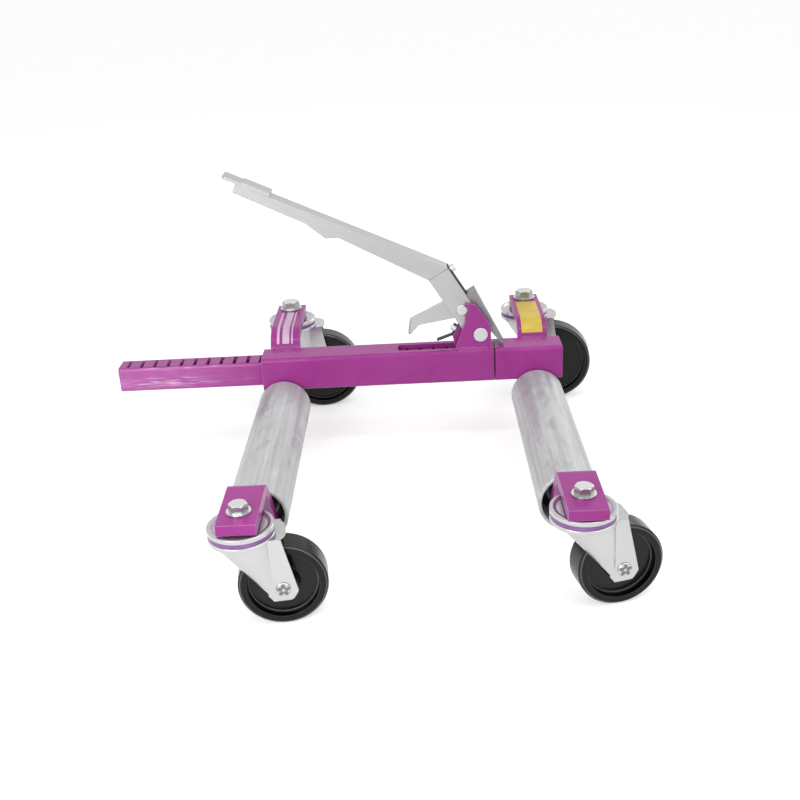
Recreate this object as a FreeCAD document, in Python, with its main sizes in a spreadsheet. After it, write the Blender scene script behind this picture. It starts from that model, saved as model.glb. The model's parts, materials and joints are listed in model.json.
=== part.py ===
import FreeCAD
import Part
import Sketcher
import math
import os
import re

# Vehicle positioning jack: two rollers close on a tyre and lift it onto four casters.
# +X runs along the cross beam, +Y runs from the roller mouths to the beam, +Z is up.
# The origin lies on the floor, under the middle of the whole jack.

SIZES = {
    # Place of the jack in its frame
    "left_roller_x": -119.5,
    "beam_front_y": 135.0,
    # Cross beam, a square tube with a window for the pawls
    "beam_width": 50.8,
    "beam_wall": 6.35,
    "beam_corner": 6.0,
    "beam_length": 346.5,
    "beam_overhang": 30.7,
    "beam_bottom": 97.2,
    "window_inset": 45.5,
    "window_length": 97.0,
    "window_width": 24.0,
    "window_corner": 3.0,
    # Slide tube that runs in the beam and carries the right half
    "slide_clearance": 0.3,
    "slide_wall": 4.8,
    "slide_corner": 5.0,
    "handle_overhang": 215.9,
    "slot_first": 13.6,
    "slot_pitch": 20.0,
    "slot_count": 26,
    "slot_width": 6.0,
    "slot_length": 31.0,
    "sleeve_gap": 0.8,
    "sleeve_length": 100.0,
    "sleeve_fit": 0.15,
    # Rollers on their fixed shafts
    "roller_spacing": 378.0,
    "roller_diameter": 76.2,
    "roller_wall": 4.0,
    "roller_length": 336.6,
    "roller_chamfer": 1.5,
    "roller_gap": 4.2,
    "shaft_diameter": 41.0,
    "weld_gap": 0.3,
    "bush_length": 24.0,
    "bush_far_inset": 8.0,
    "bush_near_inset": 37.0,
    "bush_fit": 0.08,
    "clip_thickness": 2.0,
    "clip_rim": 4.0,
    "clip_gap": 0.3,
    # Bent flat bars that carry the casters
    "bar_width": 44.45,
    "bar_thickness": 12.7,
    "bar_bend": 6.0,
    "near_bend_reach": 36.5,
    "near_end_reach": 132.5,
    "left_bolt_reach": 103.0,
    "right_bolt_reach": 96.5,
    "near_leg_tilt": 37.0,
    "near_leg_end": 64.0,
    "far_bolt_reach": 123.0,
    "far_bar_rear": 20.0,
    # Caster bolts and nuts
    "near_shank": 12.7,
    "near_hex": 19.0,
    "near_head": 9.0,
    "near_flange": 28.0,
    "near_flange_thickness": 2.2,
    "far_shank": 16.0,
    "far_hex": 24.0,
    "far_head": 11.0,
    "far_flange": 34.0,
    "far_flange_thickness": 2.8,
    "chamfer_angle": 30.0,
    "hole_gap": 0.15,
    "nut_height": 9.0,
    "nut_gap": 0.3,
    "thread_end": 2.0,
    # Swivel casters
    "near_height": 127.3,
    "near_wheel": 101.6,
    "near_trail": 40.5,
    "far_height": 156.0,
    "far_wheel": 127.0,
    "far_trail": 43.0,
    "near_left_heading": 6.0,
    "near_right_heading": 13.0,
    "far_left_heading": 5.0,
    "far_right_heading": -6.0,
    "cap_diameter": 75.0,
    "cap_boss": 30.0,
    "cap_dish": 3.5,
    "cap_rim_drop": 1.8,
    "cap_rim": 7.5,
    "cap_sheet": 2.6,
    "cap_skirt": 7.0,
    "seal_diameter": 73.2,
    "seal_width": 5.6,
    "seal_height": 5.4,
    "seal_round": 0.8,
    "seal_gap": 0.3,
    "race_rise": 4.2,
    "race_hub": 44.0,
    "race_slope": 4.0,
    "fork_sheet": 3.2,
    "fork_skirt": 4.6,
    "swivel_fit": 0.05,
    "leg_clearance": 4.3,
    "leg_corner": 6.0,
    "hood_round": 17.0,
    "axle_diameter": 12.7,
    "axle_fit": 0.05,
    "axle_head": 17.0,
    "axle_head_height": 2.2,
    "wheel_width": 32.0,
    "wheel_rim": 10.0,
    "wheel_corner": 3.0,
    "wheel_web": 14.0,
    "wheel_hub": 40.0,
    "wheel_draft": 1.5,
    "hub_clearance": 0.8,
    "bush_wall": 3.0,
    # Ears and pins of the pedal
    "pivot_from_end": 19.6,
    "pivot_rise": 22.8,
    "pivot_diameter": 16.0,
    "pivot_head": 21.0,
    "pivot_head_height": 2.6,
    "pivot_fit": 0.05,
    "ear_gap": 30.8,
    "ear_thickness": 6.0,
    "ear_base_left": 38.0,
    "ear_waist": 22.0,
    "ear_waist_rise": 20.5,
    "ear_top": 47.2,
    "ear_top_right": 7.1,
    "ear_right": 15.3,
    "ear_right_rise": 13.2,
    "ear_round": 4.0,
    "notch_gap": 1.6,
    "pawl_pin_reach": 45.8,
    "pawl_pin_angle": 124.9,
    "pawl_pin_diameter": 12.0,
    "pawl_pin_head": 16.0,
    "pawl_pin_head_height": 3.6,
    # Pedal, two welded channels
    "pedal_width": 30.2,
    "pedal_sheet": 3.0,
    "stem_angle": 58.7,
    "stem_back": 14.0,
    "stem_front": 18.6,
    "stem_round": 12.0,
    "stem_web_end": 25.0,
    "arm_angle": 25.1,
    "arm_top": 72.1,
    "arm_reach": 406.0,
    "arm_depth_bend": 26.8,
    "arm_depth_lug": 15.9,
    "arm_depth_tip": 13.1,
    "lug_start": 296.0,
    "lug_peak": 262.0,
    "lug_end": 245.6,
    "lug_depth": 9.2,
    "lug_notch": 7.8,
    "foot_overhang": 20.5,
    "foot_lip": 28.0,
    "foot_length": 70.5,
    "foot_plate_thickness": 3.8,
    "foot_tread_thickness": 1.4,
    "foot_width": 31.5,
    "foot_round": 5.0,
    # Leaf spring and up stop on the back of the pedal
    "leaf_start": 110.0,
    "leaf_end": 6.0,
    "leaf_width": 14.0,
    "leaf_thickness": 1.5,
    "leaf_gap": 0.3,
    "small_hex": 10.0,
    "small_head": 5.5,
    "small_washer": 13.0,
    "small_washer_thickness": 1.2,
    "leaf_bolt_inset": 7.0,
    "stop_top": 60.0,
    "stop_flange": 15.0,
    "stop_tip": 34.0,
    "stop_tip_rise": 5.0,
    "stop_seat_end": 9.0,
    "stop_width": 22.0,
    "stop_sheet": 3.0,
    # Pawls
    "drive_reach": 80.0,
    "drive_width": 21.0,
    "drive_sheet": 2.5,
    "drive_nose": 4.0,
    "hold_width": 14.0,
    "hold_hub": 26.0,
    "hold_top_left": 28.0,
    "hold_top_rise": 13.0,
    "hold_face_tilt": 54.1,
    "hold_face_length": 22.2,
    "tooth_width": 3.0,
    "tooth_left": 32.6,
    "tooth_flank": 36.6,
    "tooth_gap": 1.0,
    "tooth_root_drop": 17.0,
    "tooth_root_left": 31.0,
    "hold_leaf_thickness": 1.2,
    "hold_leaf_width": 11.0,
    "hold_leaf_reach": 19.0,
    "hold_leaf_kick": 13.4,
    # Working allowances
    "overrun": 1.0,
}

# Sizes worked out from the driving sizes
DERIVED = {
    "beam_top": "beam_bottom + beam_width",
    "beam_left_x": "left_roller_x - beam_overhang",
    "beam_right_x": "beam_left_x + beam_length",
    "beam_mid_y": "beam_front_y + beam_width / 2",
    "beam_bore": "beam_width - 2 * beam_wall",
    "slide_width": "beam_bore - 2 * slide_clearance",
    "slide_inset": "beam_wall + slide_clearance",
    "slide_left_x": "beam_left_x - handle_overhang",
    "sleeve_left_x": "beam_right_x + sleeve_gap",
    "slide_length": "handle_overhang + beam_length + sleeve_gap + sleeve_length",
    "sleeve_bore": "slide_width + 2 * sleeve_fit",
    "right_roller_x": "left_roller_x + roller_spacing",
    "roller_height": "beam_bottom - weld_gap - shaft_diameter / 2",
    "roller_bore": "roller_diameter - 2 * roller_wall",
    "roller_near": "roller_gap + roller_length",
    "left_near_bolt_y": "roller_near + left_bolt_reach",
    "right_near_bolt_y": "roller_near + right_bolt_reach",
    "near_top": "near_height + bar_thickness",
    "near_bend_y": "roller_near + near_bend_reach",
    "near_front_y": "roller_near + near_end_reach",
    "near_inner_y": "near_bend_y + bar_thickness * (1 - sin(near_leg_tilt)) / cos(near_leg_tilt)",
    "leg_end_y": "near_bend_y - (near_top - near_leg_end) * tan(near_leg_tilt)",
    "far_bolt_y": "beam_width + far_bolt_reach",
    "far_top": "far_height + bar_thickness",
    "seal_top": "cap_skirt + seal_gap",
    "fork_top": "seal_top + seal_height",
    "fork_floor": "fork_top + fork_sheet",
    "shank_length": "bar_thickness + fork_floor + nut_gap + nut_height + thread_end",
    "leg_inner": "wheel_width / 2 + leg_clearance",
    "leg_outer": "leg_inner + fork_sheet",
    "hub_half": "leg_inner - hub_clearance",
    "pivot_x": "beam_right_x - pivot_from_end",
    "pivot_z": "beam_top + pivot_rise",
    "pawl_pin_x": "pawl_pin_reach * cos(pawl_pin_angle)",
    "pawl_pin_z": "pawl_pin_reach * sin(pawl_pin_angle)",
    "pawl_pin_s": "pawl_pin_reach * cos(pawl_pin_angle + stem_angle)",
    "pawl_pin_n": "pawl_pin_reach * sin(pawl_pin_angle + stem_angle)",
    "bend": "stem_angle - arm_angle",
    "arm_low": "arm_top - arm_depth_bend",
    "lug_low": "arm_top - arm_depth_lug",
    "foot_front": "arm_reach + foot_overhang",
    "arm_end_top": "(stem_back - arm_top * cos(bend)) / sin(bend)",
    "arm_end_low": "(0 - stem_front - arm_low * cos(bend)) / sin(bend)",
    "stem_end_top": "arm_end_top * cos(bend) - arm_top * sin(bend)",
    "stem_end_low": "arm_end_low * cos(bend) - arm_low * sin(bend)",
    "pedal_bore": "pedal_width - 2 * pedal_sheet",
    "leaf_top": "stem_back + leaf_thickness",
    "hold_mid_x": "0 - hold_top_left - hold_face_length / 2 * cos(hold_face_tilt)",
    "hold_mid_z": "hold_top_rise - hold_face_length / 2 * sin(hold_face_tilt)",
    "tooth_drop": "pivot_rise + beam_wall + slide_clearance - tooth_gap",
}

# Fork: the rounded lead of each leg hangs from the rim between two places along the trail,
# and narrows to a short line beside the axle; shares of the trail and of the drop to the axle
LEAD_TOP_SHARES = (-0.80, 0.69)
LEAD_FOOT_SHARES = (0.58, 0.74)
LEAD_DROP_SHARE = 1.06
# Flat trailing part of each leg, as shares of the trail and the drop
LEG_SHARES = [(0.58, -1.10), (0.72, -1.20), (1.25, -1.19), (1.42, -1.05)]
LEG_TOP_SHARES = (0.66, 1.06)
# Hood over the trailing side of the wheel, as shares of the trail
HOOD_SHARES = (0.40, 1.20)
# Drive pawl outline, and what is cut between and off its plates, as shares of its reach
DRIVE_SHARES = [
    (0.11, 0.11), (-0.34, 0.16), (-0.955, -0.135), (-1.0, -0.443), (-0.939, -0.447),
    (-0.91, -0.39), (-0.785, -0.275), (-0.09, -0.165), (0.11, -0.11),
]
DRIVE_GAP_SHARES = ((-0.92, -0.60), (0.30, 0.40))
DRIVE_TRIM_SHARES = [
    (-0.17, 0.30), (-1.10, 0.30), (-1.10, -0.30), (-0.97, -0.26), (-0.36, 0.02), (-0.17, 0.06),
]

FULL_TURN = 360
HEX_STEP = 60
NEAR_ZERO = 1e-4

doc = FreeCAD.newDocument("positioning_jack")
sizes = doc.addObject("Spreadsheet::Sheet", "sizes")
for row, (name, value) in enumerate(SIZES.items(), 1):
    sizes.set("A%d" % row, name)
    sizes.set("B%d" % row, str(value))
    sizes.setAlias("B%d" % row, name)
doc.recompute()

NODES = []


# Helpers that bind geometry to the sheet


def spell(text):
    """Write a formula of named sizes as an expression on the sheet's cells."""

    def swap(found):
        word = found.group(0)
        if word in DERIVED:
            return "(" + spell(DERIVED[word]) + ")"
        if word in SIZES:
            return "sizes." + word
        return word

    return re.sub(r"[a-z][a-z_]+", swap, text)


def new_body(label, node=True):
    """Start one solid piece; a piece that is no part of a group is a node by itself."""
    body = doc.addObject("PartDesign::Body", label)
    body.Label = label
    if node:
        NODES.append(body)
    return body


def place(piece, spot, axis=None, angle="0"):
    """Put a piece at a spot, turned about an axis."""
    if axis is not None:
        piece.Placement = FreeCAD.Placement(FreeCAD.Vector(), FreeCAD.Rotation(axis, HEX_STEP))
        piece.setExpression(".Placement.Rotation.Angle", spell(angle))
    for name, text in zip("xyz", spot):
        piece.setExpression(".Placement.Base." + name, spell(text))


def new_sketch(body, name, plane, lift="0"):
    """Start a sketch on one of the body's own planes, lifted along its normal."""
    sketch = body.newObject("Sketcher::SketchObject", name)
    support = [feature for feature in body.Origin.OriginFeatures if feature.Role == plane]
    sketch.AttachmentSupport = [(support[0], "")]
    sketch.MapMode = "FlatFace"
    sketch.setExpression(".AttachmentOffset.Base.z", spell(lift))
    return sketch


def fix_point(sketch, element, point, spot):
    """Tie a point of a sketch to its place from the sketch's origin."""
    for kind, text in zip(("DistanceX", "DistanceY"), spot):
        number = sketch.addConstraint(Sketcher.Constraint(kind, -1, 1, element, point, 1.0))
        sketch.setExpression("Constraints[%d]" % number, spell(text))


def polygon(body, name, plane, corners, lift="0"):
    """Draw a closed outline through corners given as pairs of formulas."""
    sketch = new_sketch(body, name, plane, lift)
    count = len(corners)
    starts = [FreeCAD.Vector(k, k * k, 0) for k in range(count)]
    for k in range(count):
        sketch.addGeometry(Part.LineSegment(starts[k], starts[(k + 1) % count]), False)
    for k in range(count):
        sketch.addConstraint(Sketcher.Constraint("Coincident", k, 2, (k + 1) % count, 1))
    for k in range(count):
        fix_point(sketch, k, 1, corners[k])
    return sketch


def rectangle(body, name, plane, low, high, lift="0"):
    """Draw a rectangle between two opposite corners."""
    corners = [low, (high[0], low[1]), high, (low[0], high[1])]
    return polygon(body, name, plane, corners, lift)


def circle(body, name, plane, diameter, spot=("0", "0"), lift="0"):
    """Draw a circle about a spot."""
    sketch = new_sketch(body, name, plane, lift)
    sketch.addGeometry(Part.Circle(), False)
    number = sketch.addConstraint(Sketcher.Constraint("Diameter", 0, 1.0))
    sketch.setExpression("Constraints[%d]" % number, spell(diameter))
    fix_point(sketch, 0, 3, spot)
    return sketch


def hexagon(body, name, across, lift="0"):
    """Draw a hexagon of a given width across its flats."""
    corners = []
    for k in range(FULL_TURN // HEX_STEP):
        turn = HEX_STEP * k
        reach = across + " / sqrt(3)"
        corners.append(("%s * cos(%d)" % (reach, turn), "%s * sin(%d)" % (reach, turn)))
    return polygon(body, name, "XY_Plane", corners, lift)


def pad(body, sketch, length, sides="One side", back=False):
    """Grow a sketch into a solid."""
    feature = body.newObject("PartDesign::Pad", sketch.Name + "_pad")
    feature.Profile = sketch
    feature.setExpression("Length", spell(length))
    feature.SideType = sides
    feature.Reversed = back
    doc.recompute()
    return feature


def cut(body, sketch, depth=None, sides="Symmetric"):
    """Cut a sketch out of the solid, right through or to a depth, and see that it bites."""
    before = body.Tip.Shape.Volume
    feature = body.newObject("PartDesign::Pocket", sketch.Name + "_cut")
    feature.Profile = sketch
    feature.SideType = sides
    if depth is None:
        feature.Type = "ThroughAll"
    else:
        feature.setExpression("Length", spell(depth))
    doc.recompute()
    if not feature.Shape.Volume < before:
        raise RuntimeError(sketch.Name + " cuts nothing")
    return feature


def turn(body, sketch):
    """Turn a half outline about the sketch's upright axis."""
    feature = body.newObject("PartDesign::Revolution", sketch.Name + "_turn")
    feature.Profile = sketch
    feature.ReferenceAxis = (sketch, ["V_Axis"])
    feature.Angle = FULL_TURN
    doc.recompute()
    return feature


def turn_away(body, sketch):
    """Cut a half outline out all round the sketch's upright axis, and see that it bites."""
    before = body.Tip.Shape.Volume
    feature = body.newObject("PartDesign::Groove", sketch.Name + "_groove")
    feature.Profile = sketch
    feature.ReferenceAxis = (sketch, ["V_Axis"])
    feature.Angle = FULL_TURN
    doc.recompute()
    if not feature.Shape.Volume < before:
        raise RuntimeError(sketch.Name + " cuts nothing")
    return feature


def corner_edges(feature, sketch, picks):
    """Name the straight edges that stand on the picked corners of an outline."""
    normal = sketch.Placement.Rotation.multVec(FreeCAD.Vector(0, 0, 1))
    names = []
    for k in picks:
        spot = sketch.Placement.multVec(sketch.Geometry[k].StartPoint)
        for number, edge in enumerate(feature.Shape.Edges, 1):
            if edge.Curve.TypeId != "Part::GeomLine":
                continue
            if edge.Curve.Direction.cross(normal).Length > NEAR_ZERO:
                continue
            away = edge.Vertexes[0].Point - spot
            if (away - normal * away.dot(normal)).Length < NEAR_ZERO:
                names.append("Edge%d" % number)
    return names


def soften(body, feature, names, radius):
    """Round the named edges."""
    fillet = body.newObject("PartDesign::Fillet", feature.Name + "_round")
    fillet.Base = (feature, names)
    fillet.setExpression("Radius", spell(radius))
    doc.recompute()
    return fillet


def mirror(body, features):
    """Repeat features on the other side of the body's XZ plane."""
    plane = [feature for feature in body.Origin.OriginFeatures if feature.Role == "XZ_Plane"]
    copy = body.newObject("PartDesign::Mirrored", features[-1].Name + "_mirror")
    copy.Originals = features
    copy.MirrorPlane = (plane[0], [""])
    doc.recompute()
    body.Tip = copy
    return copy


def group(label, bodies):
    """Hold like pieces of one kind in one node, as separate solids."""
    node = doc.addObject("Part::Compound", label)
    node.Label = label
    node.Links = bodies
    NODES.append(node)
    return node


# Cross beam and slide


def square_tube(label, length, width, bore, corner):
    """A square tube along X with rounded outer corners."""
    body = new_body(label)
    section = rectangle(body, label + "_section", "YZ_Plane", ("0", "0"), (width, width))
    tube = pad(body, section, length)
    soften(body, tube, corner_edges(tube, section, range(4)), corner)
    low = "(%s - %s) / 2" % (width, bore)
    high = "(%s + %s) / 2" % (width, bore)
    cut(body, rectangle(body, label + "_bore", "YZ_Plane", (low, low), (high, high)))
    return body


def make_beam():
    """Outer tube with the pawl window in its top."""
    body = square_tube("outer_tube", "beam_length", "beam_width", "beam_bore", "beam_corner")
    low = ("beam_length - window_inset - window_length", "(beam_width - window_width) / 2")
    high = ("beam_length - window_inset", "(beam_width + window_width) / 2")
    window = rectangle(body, "pawl_window", "XY_Plane", low, high, "beam_width")
    opening = cut(body, window, "beam_wall + overrun", "One side")
    soften(body, opening, corner_edges(opening, window, range(4)), "window_corner")
    place(body, ("beam_left_x", "beam_front_y", "beam_bottom"))


def make_slide():
    """Inner tube with the row of ratchet slots, and the sleeve welded on its right end."""
    bore = "(slide_width - 2 * slide_wall)"
    body = square_tube("inner_tube", "slide_length", "slide_width", bore, "slide_corner")
    low = ("slot_first - slot_width / 2", "(slide_width - slot_length) / 2")
    high = ("slot_first + slot_width / 2", "(slide_width + slot_length) / 2")
    slot = rectangle(body, "ratchet_slot", "XY_Plane", low, high, "slide_width")
    first = cut(body, slot, "slide_wall + overrun", "One side")
    axis = [feature for feature in body.Origin.OriginFeatures if feature.Role == "X_Axis"]
    slots = body.newObject("PartDesign::LinearPattern", "ratchet_slots")
    slots.Originals = [first]
    slots.Direction = (axis[0], [""])
    slots.setExpression("Length", spell("slot_pitch * (slot_count - 1)"))
    slots.setExpression("Occurrences", spell("slot_count"))
    body.Tip = slots
    doc.recompute()
    place(body, ("slide_left_x", "beam_front_y + slide_inset", "beam_bottom + slide_inset"))
    sleeve = square_tube("end_sleeve", "sleeve_length", "beam_width", "sleeve_bore", "beam_corner")
    place(sleeve, ("sleeve_left_x", "beam_front_y", "beam_bottom"))


# Rollers and shafts


def make_roller(side, x):
    """Roller tube on two bushes, and the fixed shaft with its clip."""
    near_y = "beam_front_y - roller_near"
    body = new_body(side + "_roller_tube")
    outer = "roller_diameter / 2"
    inner = "roller_bore / 2"
    corners = [
        (inner, "0"),
        (outer + " - roller_chamfer", "0"),
        (outer, "roller_chamfer"),
        (outer, "roller_length - roller_chamfer"),
        (outer + " - roller_chamfer", "roller_length"),
        (inner, "roller_length"),
    ]
    turn(body, polygon(body, side + "_roller_outline", "XY_Plane", corners))
    place(body, (x, near_y, "roller_height"))
    starts = {"near": "bush_near_inset", "far": "roller_length - bush_far_inset - bush_length"}
    bushes = []
    for end, start in starts.items():
        bush = new_body("%s_%s_bush" % (side, end), node=False)
        low = ("shaft_diameter / 2 + bush_fit", start)
        high = (inner + " - hole_gap", start + " + bush_length")
        turn(bush, rectangle(bush, "%s_%s_bush_outline" % (side, end), "XY_Plane", low, high))
        place(bush, (x, near_y, "roller_height"))
        bushes.append(bush)
    group(side + "_roller_bushes", bushes)
    clip = new_body(side + "_roller_clip")
    low = ("shaft_diameter / 2 + hole_gap", "bush_near_inset - clip_gap - clip_thickness")
    high = ("shaft_diameter / 2 + clip_rim", "bush_near_inset - clip_gap")
    turn(clip, rectangle(clip, side + "_clip_outline", "XY_Plane", low, high))
    place(clip, (x, near_y, "roller_height"))


def make_shaft(side, x):
    """Roller shaft under the beam, its near end mitred to the bracket's sloping leg."""
    body = new_body(side + "_roller_shaft")
    section = circle(body, side + "_shaft_section", "XZ_Plane", "shaft_diameter", lift="0 - beam_width")
    pad(body, section, "beam_width + near_bend_y")
    high = "shaft_diameter / 2 + overrun"
    low = "0 - shaft_diameter / 2 - overrun"
    slope = "0 - near_bend_y + (near_top - roller_height - (%s)) * tan(near_leg_tilt)"
    ahead = "0 - near_front_y"
    corners = [(slope % high, high), (slope % low, low), (ahead, low), (ahead, high)]
    cut(body, polygon(body, side + "_shaft_mitre", "YZ_Plane", corners))
    place(body, (x, "beam_front_y", "roller_height"))


# Brackets and their bolts


def make_near_bracket(side, x):
    """Flat bar over the near caster, bent down and back into the roller's mouth."""
    label = side + "_near_bracket"
    body = new_body(label)
    drop_y = "bar_thickness * cos(near_leg_tilt)"
    drop_z = "bar_thickness * sin(near_leg_tilt)"
    corners = [
        ("0 - near_front_y", "near_height"),
        ("0 - near_inner_y", "near_height"),
        ("0 - leg_end_y - " + drop_y, "near_leg_end - " + drop_z),
        ("0 - leg_end_y", "near_leg_end"),
        ("0 - near_bend_y", "near_top"),
        ("0 - near_front_y", "near_top"),
    ]
    profile = polygon(body, label + "_profile", "YZ_Plane", corners)
    bar = pad(body, profile, "bar_width", "Symmetric")
    bar = soften(body, bar, corner_edges(bar, profile, [1]), "bar_bend")
    soften(body, bar, corner_edges(bar, profile, [4]), "bar_bend + bar_thickness")
    spot = ("0", "0 - %s_near_bolt_y" % side)
    cut(body, circle(body, label + "_hole", "XY_Plane", "near_shank + 2 * hole_gap", spot))
    place(body, (x, "beam_front_y", "0"))


def make_far_bracket(side, x):
    """Flat bar up the back of the beam and over the far caster."""
    label = side + "_far_bracket"
    body = new_body(label)
    foot = "roller_height - shaft_diameter / 2"
    back = "beam_width + bar_thickness"
    end = "far_bolt_y + far_bar_rear"
    corners = [
        ("beam_width", foot),
        ("beam_width", "far_top"),
        (end, "far_top"),
        (end, "far_height"),
        (back, "far_height"),
        (back, foot),
    ]
    profile = polygon(body, label + "_profile", "YZ_Plane", corners)
    bar = pad(body, profile, "bar_width", "Symmetric")
    bar = soften(body, bar, corner_edges(bar, profile, [4]), "bar_bend")
    soften(body, bar, corner_edges(bar, profile, [1]), "bar_bend + bar_thickness")
    hole = circle(body, label + "_hole", "XY_Plane", "far_shank + 2 * hole_gap", ("0", "far_bolt_y"))
    cut(body, hole)
    place(body, (x, "beam_front_y", "0"))


def hex_bolt(label, across, head, flange, flange_thickness, shank, length):
    """Flanged hexagon bolt with chamfered corners, its seat at the local origin."""
    body = new_body(label)
    pad(body, circle(body, label + "_flange", "XY_Plane", flange), flange_thickness)
    pad(body, hexagon(body, label + "_hex", across, flange_thickness), head)
    pad(body, circle(body, label + "_shank", "XY_Plane", shank), length, back=True)
    top = "%s + %s" % (flange_thickness, head)
    flat = across + " / 2"
    point = "%s / sqrt(3) + overrun" % across
    fall = "%s - (%s - %s) * tan(chamfer_angle)" % (top, point, flat)
    corners = [(flat, top), (point, top), (point, fall)]
    turn_away(body, polygon(body, label + "_chamfer", "XZ_Plane", corners))
    return body


def make_caster_fasteners(side, x):
    """King bolts through the brackets, and the lock nuts under the forks."""
    nuts = []
    spots = {"near": "beam_front_y - %s_near_bolt_y" % side, "far": "beam_front_y + far_bolt_y"}
    for end, y in spots.items():
        names = [end + "_hex", end + "_head", end + "_flange", end + "_flange_thickness", end + "_shank"]
        bolt = hex_bolt("%s_%s_bolt" % (side, end), *names, "shank_length")
        place(bolt, (x, y, end + "_top"))
        nut = new_body("%s_%s_nut" % (side, end), node=False)
        pad(nut, hexagon(nut, "%s_%s_nut_hex" % (side, end), end + "_hex"), "nut_height")
        cut(nut, circle(nut, "%s_%s_nut_hole" % (side, end), "XY_Plane", end + "_shank + 2 * hole_gap"))
        place(nut, (x, y, end + "_height - fork_floor - nut_gap - nut_height"))
        nuts.append(nut)
    group(side + "_caster_nuts", nuts)


# Swivel casters


def make_cap(label, shank, spot):
    """Dished upper cap that the bracket bar sits on."""
    body = new_body(label)
    hole = shank + " / 2 + hole_gap"
    rim = "cap_diameter / 2"
    corners = [
        (hole, "0"),
        ("cap_boss / 2", "0"),
        ("cap_boss / 2 + cap_dish", "0 - cap_dish"),
        (rim + " - cap_rim", "0 - cap_dish"),
        (rim + " - cap_rim / 2", "0 - cap_rim_drop"),
        (rim + " - seal_round", "0 - cap_rim_drop"),
        (rim, "0 - cap_rim_drop - seal_round"),
        (rim, "0 - cap_skirt"),
        (rim + " - cap_sheet", "0 - cap_skirt"),
        (rim + " - cap_sheet", "0 - cap_dish - cap_sheet"),
        (hole, "0 - cap_dish - cap_sheet"),
    ]
    turn(body, polygon(body, label + "_outline", "XZ_Plane", corners))
    place(body, spot)


def make_seal(label, spot, axis, angle):
    """Soft seal ring between cap and fork."""
    body = new_body(label)
    outer = "seal_diameter / 2"
    inner = outer + " - seal_width"
    corners = [
        (inner, "0 - seal_top"),
        (outer + " - seal_round", "0 - seal_top"),
        (outer, "0 - seal_top - seal_round"),
        (outer, "0 - fork_top + seal_round"),
        (outer + " - seal_round", "0 - fork_top"),
        (inner, "0 - fork_top"),
    ]
    turn(body, polygon(body, label + "_outline", "XZ_Plane", corners))
    place(body, spot, axis, angle)


def rim_band(body, name, lift, end):
    """Draw a band of sheet round the near side of the fork's rim."""
    sketch = new_sketch(body, name, "XY_Plane", lift)
    trail = SIZES[end + "_trail"]
    outer = SIZES["cap_diameter"] / 2 - SIZES["seal_round"]
    turns = [-math.acos(trail * share / outer) for share in LEAD_TOP_SHARES]
    rim = "(cap_diameter / 2 - seal_round)"
    radii = {rim: outer, "(%s - fork_sheet)" % rim: outer - SIZES["fork_sheet"]}
    ends = []
    for number, (text, radius) in enumerate(radii.items()):
        ring = Part.Circle(FreeCAD.Vector(), FreeCAD.Vector(0, 0, 1), radius)
        arc = Part.ArcOfCircle(ring, turns[0], turns[1])
        sketch.addGeometry(arc, False)
        ends.append((arc.StartPoint, arc.EndPoint))
        sketch.addConstraint(Sketcher.Constraint("Coincident", number, 3, -1, 1))
        size = sketch.addConstraint(Sketcher.Constraint("Radius", number, radius))
        sketch.setExpression("Constraints[%d]" % size, spell(text))
        for point, share in enumerate(LEAD_TOP_SHARES, 1):
            spot = trail * share * radius / outer
            rule = Sketcher.Constraint("DistanceX", -1, 1, number, point, spot)
            along = "%s_trail * %g * %s / %s" % (end, share, text, rim)
            sketch.setExpression("Constraints[%d]" % sketch.addConstraint(rule), spell(along))
    for point in (0, 1):
        line = sketch.addGeometry(Part.LineSegment(ends[0][point], ends[1][point]), False)
        sketch.addConstraint(Sketcher.Constraint("Coincident", line, 1, 0, point + 1))
        sketch.addConstraint(Sketcher.Constraint("Coincident", line, 2, 1, point + 1))
    return sketch


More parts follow.
